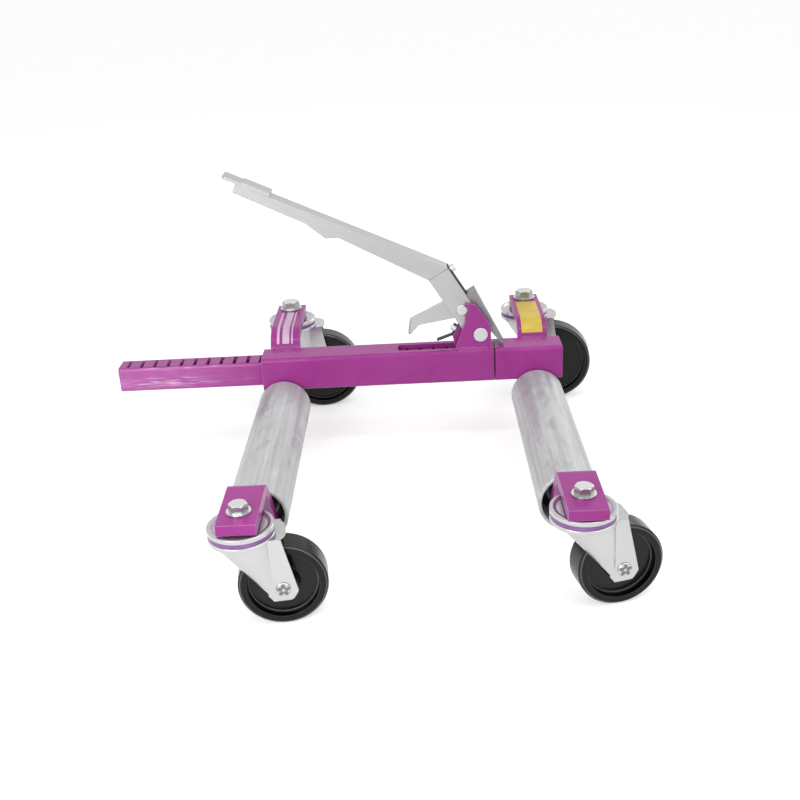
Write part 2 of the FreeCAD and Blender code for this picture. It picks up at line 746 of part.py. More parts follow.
def make_fork(label, end, spot, axis, angle):
    """Pressed fork: ball race, two raked legs that flow from its rim, and a hood behind."""
    body = new_body(label)
    trail = end + "_trail"
    drop = "(%s_height - %s_wheel / 2)" % (end, end)
    hole = end + "_shank / 2 + swivel_fit"
    rim = "cap_diameter / 2"
    corners = [
        (hole, "0 - fork_top + race_rise"),
        ("race_hub / 2", "0 - fork_top + race_rise"),
        ("race_hub / 2 + race_slope", "0 - fork_top"),
        (rim + " - seal_round", "0 - fork_top"),
        (rim, "0 - fork_top - seal_round"),
        (rim, "0 - fork_top - fork_skirt"),
        (rim + " - fork_sheet", "0 - fork_top - fork_skirt"),
        (rim + " - fork_sheet", "0 - fork_floor"),
        (hole, "0 - fork_floor"),
    ]
    turn(body, polygon(body, label + "_race", "XZ_Plane", corners))
    hood_low = ("%s * %g" % (trail, HOOD_SHARES[0]), "0 - leg_outer")
    hood_high = ("%s * %g" % (trail, HOOD_SHARES[1]), "leg_outer")
    hood = rectangle(body, label + "_hood", "XY_Plane", hood_low, hood_high, "0 - fork_floor")
    plate = pad(body, hood, "fork_sheet - seal_round")
    soften(body, plate, corner_edges(plate, hood, [1, 2]), "hood_round")
    top = "0 - fork_top - seal_round"
    outline = [("%s * %g" % (trail, LEG_TOP_SHARES[0]), top)]
    for along, down in LEG_SHARES:
        outline.append(("%s * %g" % (trail, along), "%s * %g" % (drop, down)))
    outline += [("%s * %g" % (trail, LEG_TOP_SHARES[1]), top)]
    leg = polygon(body, label + "_leg", "XZ_Plane", outline, "leg_inner")
    leg_pad = pad(body, leg, "fork_sheet")
    rounded = soften(body, leg_pad, corner_edges(leg_pad, leg, [3, 4]), "leg_corner")
    lead = body.newObject("PartDesign::AdditiveLoft", label + "_lead")
    lead.Profile = rim_band(body, label + "_lead_top", "0 - fork_top - fork_sheet / 2", end)
    low = ("%s * %g" % (trail, LEAD_FOOT_SHARES[0]), "0 - leg_outer + seal_round / 2")
    high = ("%s * %g" % (trail, LEAD_FOOT_SHARES[1]), "0 - leg_inner - seal_round / 2")
    depth = "0 - %s * %g" % (drop, LEAD_DROP_SHARE)
    lead.Sections = [rectangle(body, label + "_lead_foot", "XY_Plane", low, high, depth)]
    lead.Ruled = True
    body.Tip = lead
    doc.recompute()
    mirror(body, [leg_pad, rounded, lead])
    hole = "axle_diameter + 2 * hole_gap"
    axle = circle(body, label + "_axle_hole", "XZ_Plane", hole, (trail, "0 - " + drop))
    cut(body, axle)
    place(body, spot, axis, angle)


def make_axle(label, spot, axis, angle):
    """Riveted axle with a staked head on each leg."""
    body = new_body(label)
    radius = "axle_diameter / 2"
    head = "axle_head / 2"
    end = "(leg_outer + axle_head_height)"
    corners = [
        ("0", "0 - " + end),
        (head + " - seal_round", "0 - " + end),
        (head, "0 - leg_outer - axle_head_height / 2"),
        (head, "0 - leg_outer"),
        (radius, "0 - leg_outer"),
        (radius, "leg_outer"),
        (head, "leg_outer"),
        (head, "leg_outer + axle_head_height / 2"),
        (head + " - seal_round", end),
        ("0", end),
    ]
    turn(body, polygon(body, label + "_outline", "XY_Plane", corners))
    place(body, spot, axis, angle)


def make_wheel(label, end, spot, axis, angle):
    """Moulded wheel with a deep rim, thin web and long hub, on a bush."""
    body = new_body(label)
    bore = "axle_diameter / 2 + axle_fit + bush_wall"
    outer = end + "_wheel / 2"
    rim = outer + " - wheel_rim"
    hub = "wheel_hub / 2"
    half = "wheel_width / 2"
    web = "wheel_web / 2"
    side = [
        (bore, "hub_half"),
        (hub + " - wheel_corner", "hub_half"),
        (hub, web),
        (rim + " - wheel_draft", web),
        (rim, half),
        (outer + " - wheel_corner", half),
        (outer, half + " - wheel_corner"),
    ]
    corners = side + [(r, "0 - (%s)" % y) for r, y in reversed(side)]
    shape = polygon(body, label + "_outline", "XY_Plane", corners)
    turn(body, shape)
    place(body, spot, axis, angle)
    bush = new_body(label + "_bush")
    low = ("axle_diameter / 2 + axle_fit", "0 - hub_half")
    high = (bore + " - hole_gap", "hub_half")
    turn(bush, rectangle(bush, label + "_bush_outline", "XY_Plane", low, high))
    place(bush, spot, axis, angle)


def make_caster(side, end, x, heading):
    """One caster, turned to the heading its wheel trails along."""
    label = "%s_%s" % (side, end)
    upright = FreeCAD.Vector(0, 0, 1)
    y = {"near": "beam_front_y - %s_near_bolt_y" % side, "far": "beam_front_y + far_bolt_y"}[end]
    top = (x, y, end + "_height")
    trail = end + "_trail"
    axle_x = "%s + %s * cos(%s)" % (x, trail, heading)
    axle_y = "%s + %s * sin(%s)" % (y, trail, heading)
    axle = (axle_x, axle_y, end + "_wheel / 2")
    make_cap(label + "_cap", end + "_shank", top)
    make_seal(label + "_seal", top, upright, heading)
    make_fork(label + "_fork", end, top, upright, heading)
    make_axle(label + "_axle", axle, upright, heading)
    make_wheel(label + "_wheel", end, axle, upright, heading)


# Pedal and its pawls


def at_pivot():
    """The pedal's pivot, in the middle of the beam."""
    return ("pivot_x", "beam_mid_y", "pivot_z")


def make_ears():
    """Two welded ears that carry the pedal's pivot pin, notched round the pawl pin's head."""
    lifts = {"front_ear": "ear_gap / 2", "rear_ear": "0 - ear_gap / 2 - ear_thickness"}
    corners = [
        ("0 - ear_base_left", "0 - pivot_rise"),
        ("0 - ear_waist", "ear_waist_rise"),
        ("0 - ear_waist", "ear_top"),
        ("0 - ear_top_right", "ear_top"),
        ("ear_right", "ear_right_rise"),
        ("ear_right", "0 - pivot_rise"),
    ]
    for label, lift in lifts.items():
        body = new_body(label)
        shape = polygon(body, label + "_outline", "XZ_Plane", corners, lift)
        plate = pad(body, shape, "ear_thickness")
        soften(body, plate, corner_edges(plate, shape, [3, 4]), "ear_round")
        cut(body, circle(body, label + "_pin_hole", "XZ_Plane", "pivot_diameter + 2 * hole_gap"))
        notch = "pawl_pin_head + 2 * notch_gap"
        cut(body, circle(body, label + "_notch", "XZ_Plane", notch, ("pawl_pin_x", "pawl_pin_z")))
        place(body, at_pivot())


def headed_pin(label, diameter, half, head, head_height):
    """Pin along Y with a flat head at each end."""
    body = new_body(label)
    end = "(%s + %s)" % (half, head_height)
    corners = [
        ("0", "0 - " + end),
        (head + " / 2 - seal_round", "0 - " + end),
        (head + " / 2", "seal_round - " + end),
        (head + " / 2", "0 - (%s)" % half),
        (diameter + " / 2", "0 - (%s)" % half),
        (diameter + " / 2", half),
        (head + " / 2", half),
        (head + " / 2", end + " - seal_round"),
        (head + " / 2 - seal_round", end),
        ("0", end),
    ]
    turn(body, polygon(body, label + "_outline", "XY_Plane", corners))
    return body


def make_pedal():
    """Stem and arm channels mitred together, with pins, foot plate, leaf spring and stop."""
    across = FreeCAD.Vector(0, 1, 0)
    stem = new_body("pedal_stem")
    corners = [
        ("stem_end_top", "stem_back"),
        ("stem_back", "stem_back"),
        ("stem_back", "0 - stem_back"),
        ("0 - stem_back", "0 - stem_front"),
        ("stem_end_low", "0 - stem_front"),
    ]
    shape = polygon(stem, "stem_outline", "XZ_Plane", corners)
    solid = pad(stem, shape, "pedal_width", "Symmetric")
    soften(stem, solid, corner_edges(solid, shape, [1, 2]), "stem_round")
    past = "stem_back + overrun"
    below = "0 - stem_front - overrun"
    low = ("stem_end_low - stem_front", below)
    high = (past, "stem_back - pedal_sheet")
    cut(stem, rectangle(stem, "stem_bore", "XZ_Plane", low, high), "pedal_bore")
    mouth = rectangle(stem, "stem_mouth", "XZ_Plane", ("0 - stem_web_end", below), (past, past))
    cut(stem, mouth, "pedal_bore")
    cut(stem, circle(stem, "stem_pivot_hole", "XZ_Plane", "pivot_diameter + 2 * pivot_fit"))
    hole = "pawl_pin_diameter + 2 * hole_gap"
    cut(stem, circle(stem, "stem_pawl_hole", "XZ_Plane", hole, ("pawl_pin_s", "pawl_pin_n")))
    place(stem, at_pivot(), across, "stem_angle")

    arm = new_body("pedal_arm")
    corners = [
        ("0 - arm_reach", "arm_top - arm_depth_tip"),
        ("0 - lug_start", "lug_low"),
        ("0 - lug_peak", "lug_low - lug_depth"),
        ("0 - lug_end", "lug_low - lug_depth + lug_notch"),
        ("arm_end_low", "arm_low"),
        ("arm_end_top", "arm_top"),
        ("0 - arm_reach", "arm_top"),
    ]
    shape = polygon(arm, "arm_outline", "XZ_Plane", corners)
    pad(arm, shape, "pedal_width", "Symmetric")
    low = ("0 - arm_reach - overrun", "0")
    high = ("0", "arm_top - pedal_sheet")
    cut(arm, rectangle(arm, "arm_bore", "XZ_Plane", low, high), "pedal_bore")
    place(arm, at_pivot(), across, "arm_angle")

    foot = new_body("foot_plate")
    tread = "arm_top + foot_plate_thickness"
    corners = [
        ("0 - foot_front", "arm_top"),
        ("foot_length - foot_front", "arm_top"),
        ("foot_length - foot_front", tread + " + foot_tread_thickness"),
        ("foot_lip - foot_front", tread + " + foot_tread_thickness"),
        ("foot_lip - foot_front", tread),
        ("0 - foot_front", tread),
    ]
    shape = polygon(foot, "foot_outline", "XZ_Plane", corners)
    plate = pad(foot, shape, "foot_width", "Symmetric")
    upright = []
    for number, edge in enumerate(plate.Shape.Edges, 1):
        low = min(vertex.Point.x for vertex in edge.Vertexes)
        high = max(vertex.Point.x for vertex in edge.Vertexes)
        heights = [vertex.Point.z for vertex in edge.Vertexes]
        depth = max(heights) - min(heights)
        if high - plate.Shape.BoundBox.XMin < NEAR_ZERO and high - low < NEAR_ZERO < depth:
            upright.append("Edge%d" % number)
    soften(foot, plate, upright, "foot_round")
    place(foot, at_pivot(), across, "arm_angle")

    half = "pedal_width / 2"
    pin = headed_pin("pawl_pin", "pawl_pin_diameter", half, "pawl_pin_head", "pawl_pin_head_height")
    place(pin, ("pivot_x + pawl_pin_x", "beam_mid_y", "pivot_z + pawl_pin_z"))

    leaf = new_body("return_leaf")
    low = ("0 - leaf_start", "stem_back")
    shape = rectangle(leaf, "leaf_outline", "XZ_Plane", low, ("leaf_end", "leaf_top"))
    pad(leaf, shape, "leaf_width", "Symmetric")
    hole = ("leaf_bolt_inset - leaf_start", "0")
    cut(leaf, circle(leaf, "leaf_hole", "XY_Plane", "small_hex / 2 + 2 * hole_gap", hole))
    place(leaf, at_pivot(), across, "stem_angle")
    cut(stem, circle(stem, "stem_leaf_hole", "XY_Plane", "small_hex / 2 + 2 * hole_gap", hole))

    bolt = hex_bolt("leaf_bolt", "small_hex", "small_head", "small_washer", "small_washer_thickness",
                    "small_hex / 2", "leaf_thickness + pedal_sheet + overrun")
    along = "(leaf_bolt_inset - leaf_start)"
    x = "pivot_x + %s * cos(stem_angle) + leaf_top * sin(stem_angle)" % along
    z = "pivot_z - %s * sin(stem_angle) + leaf_top * cos(stem_angle)" % along
    place(bolt, (x, "beam_mid_y", z), across, "stem_angle")

    stop = new_body("stop_plate")
    corners = [
        ("0 - stop_top", "stem_back"),
        ("0 - stop_top", "stem_back + stop_flange"),
        ("stop_tip", "stem_back + stop_tip_rise + stop_sheet / 2"),
        ("stop_tip", "stem_back + stop_tip_rise - stop_sheet / 2"),
        ("stop_seat_end", "stem_back"),
    ]
    shape = polygon(stop, "stop_outline", "XZ_Plane", corners)
    pad(stop, shape, "stop_width", "Symmetric")
    corners = [
        ("stop_sheet - stop_top", "stem_back - overrun"),
        ("stop_sheet - stop_top", "stem_back + stop_flange - 2 * stop_sheet"),
        ("stop_seat_end", "stem_back + stop_tip_rise - stop_sheet / 2"),
        ("stop_seat_end", "stem_back - overrun"),
    ]
    hollow = polygon(stop, "stop_hollow", "XZ_Plane", corners)
    cut(stop, hollow, "stop_width - 2 * stop_sheet")
    low = ("0 - stop_top - overrun", "stem_back - overrun")
    high = ("stop_sheet - stop_top + overrun", "leaf_top + leaf_gap")
    cut(stop, rectangle(stop, "stop_leaf_gate", "XZ_Plane", low, high), "leaf_width + 2 * leaf_gap")
    place(stop, at_pivot(), across, "stem_angle")


def scaled(shares, size):
    """Turn a table of shares of one size into formulas."""
    return [("%s * %g" % (size, u), "%s * %g" % (size, v)) for u, v in shares]


def make_drive_pawl():
    """Pushing pawl: two plates on the pawl pin, joined by a bent tooth at the nose."""
    body = new_body("drive_pawl")
    shape = polygon(body, "drive_outline", "XZ_Plane", scaled(DRIVE_SHARES, "drive_reach"))
    solid = pad(body, shape, "drive_width", "Symmetric")
    solid = soften(body, solid, corner_edges(solid, shape, [0, 8]), "drive_sheet")
    tip = shape.Geometry[2].StartPoint.x
    nose = []
    for number, edge in enumerate(solid.Shape.Edges, 1):
        box = edge.BoundBox
        if box.YLength < NEAR_ZERO and box.XMax < tip + NEAR_ZERO:
            nose.append("Edge%d" % number)
    soften(body, solid, nose, "drive_nose")
    low, high = scaled(DRIVE_GAP_SHARES, "drive_reach")
    cut(body, rectangle(body, "drive_gap", "XZ_Plane", low, high), "drive_width - 2 * drive_sheet")
    lift = "drive_width / 2 - drive_sheet"
    trim = polygon(body, "drive_trim", "XZ_Plane", scaled(DRIVE_TRIM_SHARES, "drive_reach"), lift)
    cut(body, trim, "drive_width", "One side")
    cut(body, circle(body, "drive_pin_hole", "XZ_Plane", "pawl_pin_diameter + 2 * pivot_fit"))
    place(body, ("pivot_x + pawl_pin_x", "beam_mid_y", "pivot_z + pawl_pin_z"))


def make_hold_pawl():
    """Holding pawl on the pivot pin, with the leaf and bolt on its face."""
    across = FreeCAD.Vector(0, 1, 0)
    body = new_body("hold_pawl")
    face_x = "0 - hold_top_left - hold_face_length * cos(hold_face_tilt)"
    face_z = "hold_top_rise - hold_face_length * sin(hold_face_tilt)"
    corners = [
        ("0", "hold_hub / 2"),
        ("0 - hold_top_left", "hold_top_rise"),
        (face_x, face_z),
        ("0 - tooth_flank", "0 - pivot_rise"),
        ("0 - tooth_left", "0 - tooth_drop"),
        ("tooth_width - tooth_left", "0 - tooth_drop"),
        ("0 - tooth_root_left", "0 - tooth_root_drop"),
        ("0", "0 - hold_hub / 2"),
    ]
    shape = polygon(body, "hold_outline", "XZ_Plane", corners)
    pad(body, shape, "hold_width", "Symmetric")
    pad(body, circle(body, "hold_eye", "XZ_Plane", "hold_hub"), "hold_width", "Symmetric")
    cut(body, circle(body, "hold_pin_hole", "XZ_Plane", "pivot_diameter + 2 * pivot_fit"))
    place(body, at_pivot())
    face = ("pivot_x + hold_mid_x", "beam_mid_y", "pivot_z + hold_mid_z")
    leaf = new_body("hold_leaf")
    low = "0 - hold_face_length / 2"
    corners = [
        ("hold_face_length / 3", "0"),
        ("hold_face_length / 3", "hold_leaf_thickness"),
        (low, "hold_leaf_thickness"),
        (low + " - hold_leaf_reach", "hold_leaf_thickness + hold_leaf_kick"),
        (low + " - hold_leaf_reach - hold_leaf_thickness / 2", "hold_leaf_kick"),
        (low, "0"),
    ]
    shape = polygon(leaf, "hold_leaf_outline", "XZ_Plane", corners)
    pad(leaf, shape, "hold_leaf_width", "Symmetric")
    cut(leaf, circle(leaf, "hold_leaf_hole", "XY_Plane", "small_hex / 2 + 2 * hole_gap"))
    place(leaf, face, across, "0 - hold_face_tilt")
    bolt = hex_bolt("hold_bolt", "small_hex", "small_head", "small_washer", "small_washer_thickness",
                    "small_hex / 2", "hold_leaf_thickness")
    out_x = face[0] + " - hold_leaf_thickness * sin(hold_face_tilt)"
    out_z = face[2] + " + hold_leaf_thickness * cos(hold_face_tilt)"
    place(bolt, (out_x, "beam_mid_y", out_z), across, "0 - hold_face_tilt")


# Assembly

HEADINGS = {
    ("left", "near"): "near_left_heading",
    ("right", "near"): "near_right_heading",
    ("left", "far"): "far_left_heading",
    ("right", "far"): "far_right_heading",
}

make_beam()
make_slide()
for side in ("left", "right"):
    roller_x = side + "_roller_x"
    make_roller(side, roller_x)
    make_shaft(side, roller_x)
    make_near_bracket(side, roller_x)
    make_far_bracket(side, roller_x)
    make_caster_fasteners(side, roller_x)
    for end in ("near", "far"):
        make_caster(side, end, roller_x, HEADINGS[(side, end)])
make_ears()
half_pin = "ear_gap / 2 + ear_thickness"
pivot_pin = headed_pin("pivot_pin", "pivot_diameter", half_pin, "pivot_head", "pivot_head_height")
place(pivot_pin, at_pivot())
make_pedal()
make_drive_pawl()
make_hold_pawl()
doc.recompute()

# Nothing is written unless every object stands and every piece is sound

for item in doc.Objects:
    if "Invalid" in item.State or "Error" in item.State:
        raise RuntimeError("%s did not build" % item.Label)
for node in NODES:
    if node.Shape.isNull() or not node.Shape.isValid() or not node.Shape.Solids:
        raise RuntimeError("%s has no sound solid" % node.Label)

os.makedirs("parts", exist_ok=True)
for node in NODES:
    node.Shape.exportStep("parts/%s.step" % node.Label)
print("%d pieces written" % len(NODES))
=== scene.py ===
import json
import math

import bpy
from mathutils import Matrix, Vector


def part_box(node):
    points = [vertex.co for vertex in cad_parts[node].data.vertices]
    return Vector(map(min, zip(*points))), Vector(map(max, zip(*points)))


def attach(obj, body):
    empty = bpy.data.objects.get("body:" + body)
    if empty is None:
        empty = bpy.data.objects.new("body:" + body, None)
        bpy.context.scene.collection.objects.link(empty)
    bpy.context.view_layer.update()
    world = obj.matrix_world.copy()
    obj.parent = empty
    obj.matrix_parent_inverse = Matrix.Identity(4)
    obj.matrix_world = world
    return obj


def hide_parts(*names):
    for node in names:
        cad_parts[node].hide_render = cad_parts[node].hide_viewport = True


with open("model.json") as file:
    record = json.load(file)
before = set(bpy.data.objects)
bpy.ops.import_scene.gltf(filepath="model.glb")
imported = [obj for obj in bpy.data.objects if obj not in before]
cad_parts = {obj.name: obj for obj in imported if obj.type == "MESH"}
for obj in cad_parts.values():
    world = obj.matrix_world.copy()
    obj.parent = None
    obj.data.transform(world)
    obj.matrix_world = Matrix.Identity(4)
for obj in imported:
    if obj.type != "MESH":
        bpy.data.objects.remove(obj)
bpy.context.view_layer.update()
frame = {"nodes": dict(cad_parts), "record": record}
nodes = frame["nodes"]

SIDES = ("left", "right")
ENDS = ("near", "far")
CASTERS = [(side, end) for side in SIDES for end in ENDS]
HALF_BODY = {"left": "frame", "right": "slide"}
JOINTS = {joint["name"]: joint for joint in frame["record"]["behaviour"]["joints"]}


def node_points(name):
    """The points of a CAD node, in row-frame metres."""
    return [corner.co for corner in nodes[name].data.vertices]


def joint_axis(name):
    """Place and direction of a joint."""
    joint = JOINTS[name]
    return Vector(joint["pos_m"]), Vector(joint["axis"]).normalized()


# Shader building blocks

BEVEL_SAMPLES = 6
# Places of the factor and both colours among a mix node's inputs, and of the mixed colour among its outputs
MIX_SOCKETS = (0, 6, 7)
MIX_RESULT = 2
WHITE = (1.0, 1.0, 1.0)
UNTURNED = (0.0, 0.0, 0.0)
UNSTRETCHED = (1.0, 1.0, 1.0)


def new_material(name):
    """A node material with its tree and its main shader."""
    material = bpy.data.materials.new(name)
    material.use_nodes = True
    tree = material.node_tree
    return material, tree, tree.nodes["Principled BSDF"]


def add(tree, kind, **values):
    """Add a shader node and set its inputs and properties by name."""
    item = tree.nodes.new("ShaderNode" + kind)
    for name, value in values.items():
        label = name.replace("_", " ").title()
        if label in item.inputs:
            item.inputs[label].default_value = value
        else:
            setattr(item, name, value)
    return item


def fill(tree, socket, value):
    """Link a socket to another one, or set it to a plain value."""
    if hasattr(value, "is_linked"):
        tree.links.new(value, socket)
    else:
        socket.default_value = value


def place_coords(tree, scale=UNSTRETCHED, turn=UNTURNED):
    """Row-frame coordinates, turned and then stretched."""
    coords = add(tree, "TexCoord")
    turned = add(tree, "Mapping", rotation=turn)
    tree.links.new(coords.outputs["Object"], turned.inputs["Vector"])
    stretched = add(tree, "Mapping", scale=scale)
    tree.links.new(turned.outputs["Vector"], stretched.inputs["Vector"])
    return stretched.outputs["Vector"]


def offset_from(tree, place):
    """The row-frame vector from a place."""
    coords = add(tree, "TexCoord")
    offset = add(tree, "VectorMath", operation="SUBTRACT")
    tree.links.new(coords.outputs["Object"], offset.inputs[0])
    offset.inputs[1].default_value = place
    return offset.outputs["Vector"]


def along(tree, axis, kind="Object"):
    """One part of the row-frame place in metres, or of the surface's own direction."""
    coords = add(tree, "TexCoord")
    split = add(tree, "SeparateXYZ")
    tree.links.new(coords.outputs[kind], split.inputs["Vector"])
    return split.outputs[axis]


def noise(tree, vector, scale, detail=4.0, roughness=0.55):
    """Cloudy noise at a scale."""
    item = add(tree, "TexNoise", scale=scale, detail=detail, roughness=roughness)
    tree.links.new(vector, item.inputs["Vector"])
    return item.outputs["Fac"]


def ramp(tree, factor, low, high, start=0.0, end=1.0):
    """Blend from one colour to another over a span of a factor."""
    item = add(tree, "ValToRGB")
    for element, place, colour in zip(item.color_ramp.elements, (start, end), (low, high)):
        element.position = place
        element.color = (*colour, 1.0)
    tree.links.new(factor, item.inputs["Fac"])
    return item.outputs["Color"]


def span(tree, factor, low, high, start=0.0, end=1.0):
    """Map a factor to a number between low and high."""
    item = add(tree, "MapRange", from_min=start, from_max=end, to_min=low, to_max=high)
    tree.links.new(factor, item.inputs["Value"])
    return item.outputs["Result"]


def maths(tree, operation, first, second=0.0):
    """Work on one or two numbers, each of them plain or a socket."""
    item = add(tree, "Math", operation=operation)
    for socket, value in zip(item.inputs, (first, second)):
        fill(tree, socket, value)
    return item.outputs["Value"]


def product(tree, first, second):
    """Two numbers multiplied."""
    return maths(tree, "MULTIPLY", first, second)


def distance(tree, value, middle):
    """How far a number is from a middle one."""
    return maths(tree, "ABSOLUTE", maths(tree, "SUBTRACT", value, middle))


def blend_colour(tree, factor, low, high, kind="MIX"):
    """Mix two colours by a factor."""
    item = add(tree, "Mix", data_type="RGBA", blend_type=kind)
    for number, value in zip(MIX_SOCKETS, (factor, low, high)):
        fill(tree, item.inputs[number], (*value, 1.0) if isinstance(value, tuple) else value)
    return item.outputs[MIX_RESULT]


def edge_mask(tree, radius, reach):
    """One along edges, nought on open faces."""
    bevel = add(tree, "Bevel", samples=BEVEL_SAMPLES, radius=radius)
    surface = add(tree, "NewGeometry")
    dot = add(tree, "VectorMath", operation="DOT_PRODUCT")
    tree.links.new(bevel.outputs["Normal"], dot.inputs[0])
    tree.links.new(surface.outputs["Normal"], dot.inputs[1])
    return span(tree, dot.outputs["Value"], 1.0, 0.0, start=1.0 - reach, end=1.0)


def set_bump(tree, shader, height, depth, strength, radius=None):
    """Drive the shader's normal from a height, and round the edges a little where a radius is given."""
    bump = add(tree, "Bump", strength=strength, distance=depth)
    tree.links.new(height, bump.inputs["Height"])
    if radius is not None:
        bevel = add(tree, "Bevel", samples=BEVEL_SAMPLES, radius=radius)
        tree.links.new(bevel.outputs["Normal"], bump.inputs["Normal"])
    tree.links.new(bump.outputs["Normal"], shader.inputs["Normal"])


# Purple paint

CLOUD_SPAN = (0.3, 0.7)
PURPLE_LOW = (0.335, 0.030, 0.250)
PURPLE_HIGH = (0.385, 0.043, 0.295)
PURPLE_EDGE_WEAR_AND_HIGHLIGHT = (0.66, 0.30, 0.60)
PURPLE_PAINTED_LIGHT = (0.60, 0.19, 0.53)
PURPLE_SCUFF = (0.82, 0.60, 0.78)
PAINT_ROUGHNESS = (0.27, 0.37)
PAINT_EDGE_RADIUS = 0.0012
PEEL_DEPTH = 0.0001
EDGE_WEAR_AND_HIGHLIGHT_RADIUS = 0.0016
RUB_STRETCH = (0.6, 1.0, 1.0)

SEAM_PAINTED_SHADE = (0.030, 0.003, 0.022)
SEAM_DEPTH = 0.92
SEAM_HALF = 0.0016
SEAM_PLACE = (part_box("outer_tube")[1].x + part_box("end_sleeve")[0].x) / 2

HANDLE_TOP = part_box("inner_tube")[1].z
TOP_EDGE = (0.0002, 0.0020)
TUBE_FRONT = (0.10, 0.13)
PAINTED_LIGHT_MOST = 0.5
PAINTED_LIGHT_SPAN = (-0.30, -0.11)
SCUFF_PLACE = -0.285
SCUFF_REACH = (0.03, 0.13)
SCUFF_STRETCH = (0.14, 1.0, 2.0)
SCUFF_TRACE = 0.015
SCUFF_LEAST = 0.10
# Each band's drop below the handle's top, its half width and its weight
SCUFF_BANDS = ((0.0240, 0.0100, 1.0), (0.0015, 0.0030, 0.7))


def lit_and_scuffed_handle(tree, colour, x, rubbed):
    """Paint light onto the upright faces of the square tubes, paler towards the handle's end, and scuff
    them there.
    """
    drop = maths(tree, "SUBTRACT", HANDLE_TOP, along(tree, "Z"))
    tubes = span(tree, along(tree, "Y"), 0.0, 1.0, *TUBE_FRONT)
    upright = product(tree, tubes, span(tree, drop, 0.0, 1.0, *TOP_EDGE))
    # Painted light: upright faces turn paler towards the handle's end, in place of the light falling off
    # along the tubes.
    painted_light = product(tree, span(tree, x, PAINTED_LIGHT_MOST, 0.0, *PAINTED_LIGHT_SPAN), upright)
    colour = blend_colour(tree, painted_light, colour, PURPLE_PAINTED_LIGHT)
    bands = SCUFF_LEAST
    for middle, half, weight in SCUFF_BANDS:
        band = span(tree, distance(tree, drop, middle), weight, 0.0, start=half / 3, end=half)
        bands = maths(tree, "MAXIMUM", bands, band)
    held = product(tree, span(tree, distance(tree, x, SCUFF_PLACE), 1.0, 0.0, *SCUFF_REACH), upright)
    gripped = span(tree, product(tree, held, bands), SCUFF_TRACE, 1.0)
    streak = noise(tree, place_coords(tree, SCUFF_STRETCH), scale=280.0, detail=3.0)
    thick = span(tree, rubbed, 0.15, 0.9, start=0.36, end=0.56)
    scuff = product(tree, span(tree, streak, 0.0, 1.0, start=0.44, end=0.68), thick)
    return blend_colour(tree, product(tree, scuff, gripped), colour, PURPLE_SCUFF)


def purple_paint():
    """Glossy powder coat: orange peel, paler edges that are partly wear and partly painted highlight, a
    scuffed handle with painted light on its front, and painted shade along the seam at the sleeve.
    """
    material, tree, shader = new_material("purple_paint")
    coords = place_coords(tree)
    cloud = noise(tree, coords, scale=14.0)
    rubbed = noise(tree, place_coords(tree, RUB_STRETCH), scale=30.0, detail=3.0)
    x = along(tree, "X")
    colour = ramp(tree, cloud, PURPLE_LOW, PURPLE_HIGH, *CLOUD_SPAN)
    colour = lit_and_scuffed_handle(tree, colour, x, rubbed)
    # Paler edges: partly wear of the paint and partly a painted highlight along the edges.
    edges = edge_mask(tree, EDGE_WEAR_AND_HIGHLIGHT_RADIUS, reach=0.25)
    edge_wear_and_highlight = product(tree, edges, span(tree, rubbed, 0.45, 1.0, start=0.3, end=0.6))
    colour = blend_colour(tree, edge_wear_and_highlight, colour, PURPLE_EDGE_WEAR_AND_HIGHLIGHT)
    # Painted shade: a dark line along the seam between the beam and the sleeve, in place of the shadowed
    # gap.
    off_seam = distance(tree, x, SEAM_PLACE)
    seam_shade = span(tree, off_seam, SEAM_DEPTH, 0.0, start=SEAM_HALF / 2, end=SEAM_HALF)
    colour = blend_colour(tree, seam_shade, colour, SEAM_PAINTED_SHADE)
    tree.links.new(colour, shader.inputs["Base Color"])
    tree.links.new(span(tree, cloud, *PAINT_ROUGHNESS, *CLOUD_SPAN), shader.inputs["Roughness"])
    shader.inputs["Specular IOR Level"].default_value = 0.10
    shader.inputs["Coat Weight"].default_value = 0.30
    shader.inputs["Coat Roughness"].default_value = 0.06
    grain = noise(tree, coords, scale=600.0, detail=2.0)
    set_bump(tree, shader, grain, PEEL_DEPTH, strength=0.2, radius=PAINT_EDGE_RADIUS)
    return material


# Zinc and galvanised steel

EVEN_GRAIN = (4.0, 4.0, 4.0)
DRAWN_GRAIN = (0.05, 1.0, 1.0)
ZINC_ROUGHNESS_SPREAD = (-0.04, 0.06)
METAL_EDGE_RADIUS = 0.0008
SCORE_DEPTH = 0.00002
LINE_SHADE = (0.05, 0.05, 0.052)
LINE_DEPTH = 0.5
ROLLER_DARK = (0.42, 0.425, 0.43)
ROLLER_PALE = (0.72, 0.725, 0.73)
ROLLER_SMUDGE = (0.24, 0.24, 0.245)
ROLLER_ROUGHNESS = (0.36, 0.50)
STREAK_STRETCH = (1.0, 0.035, 1.0)
STREAK_DEPTH = 0.0001
SPANGLE_STRETCH = (1.0, 0.6, 1.0)
SPANGLE_DARK = (0.90, 0.905, 0.91)
SMUDGE_STRETCH = (1.0, 0.4, 1.0)


def dark_line(tree, colour, place, across, half):
    """A thin dark line where a plane through a place cuts the surface."""
    off = add(tree, "VectorMath", operation="DOT_PRODUCT")
    tree.links.new(offset_from(tree, place), off.inputs[0])
    off.inputs[1].default_value = across
    gap = maths(tree, "ABSOLUTE", off.outputs["Value"])
    line = span(tree, gap, LINE_DEPTH, 0.0, start=half / 2, end=half)
    return blend_colour(tree, line, colour, LINE_SHADE)


def upward_shade(tree, sides):
    """White on level faces, and painted shade, a darker grey, on upright ones."""
    level = maths(tree, "ABSOLUTE", along(tree, "Z", "Normal"))
    return ramp(tree, level, (sides,) * 3, WHITE, start=0.2, end=0.8)


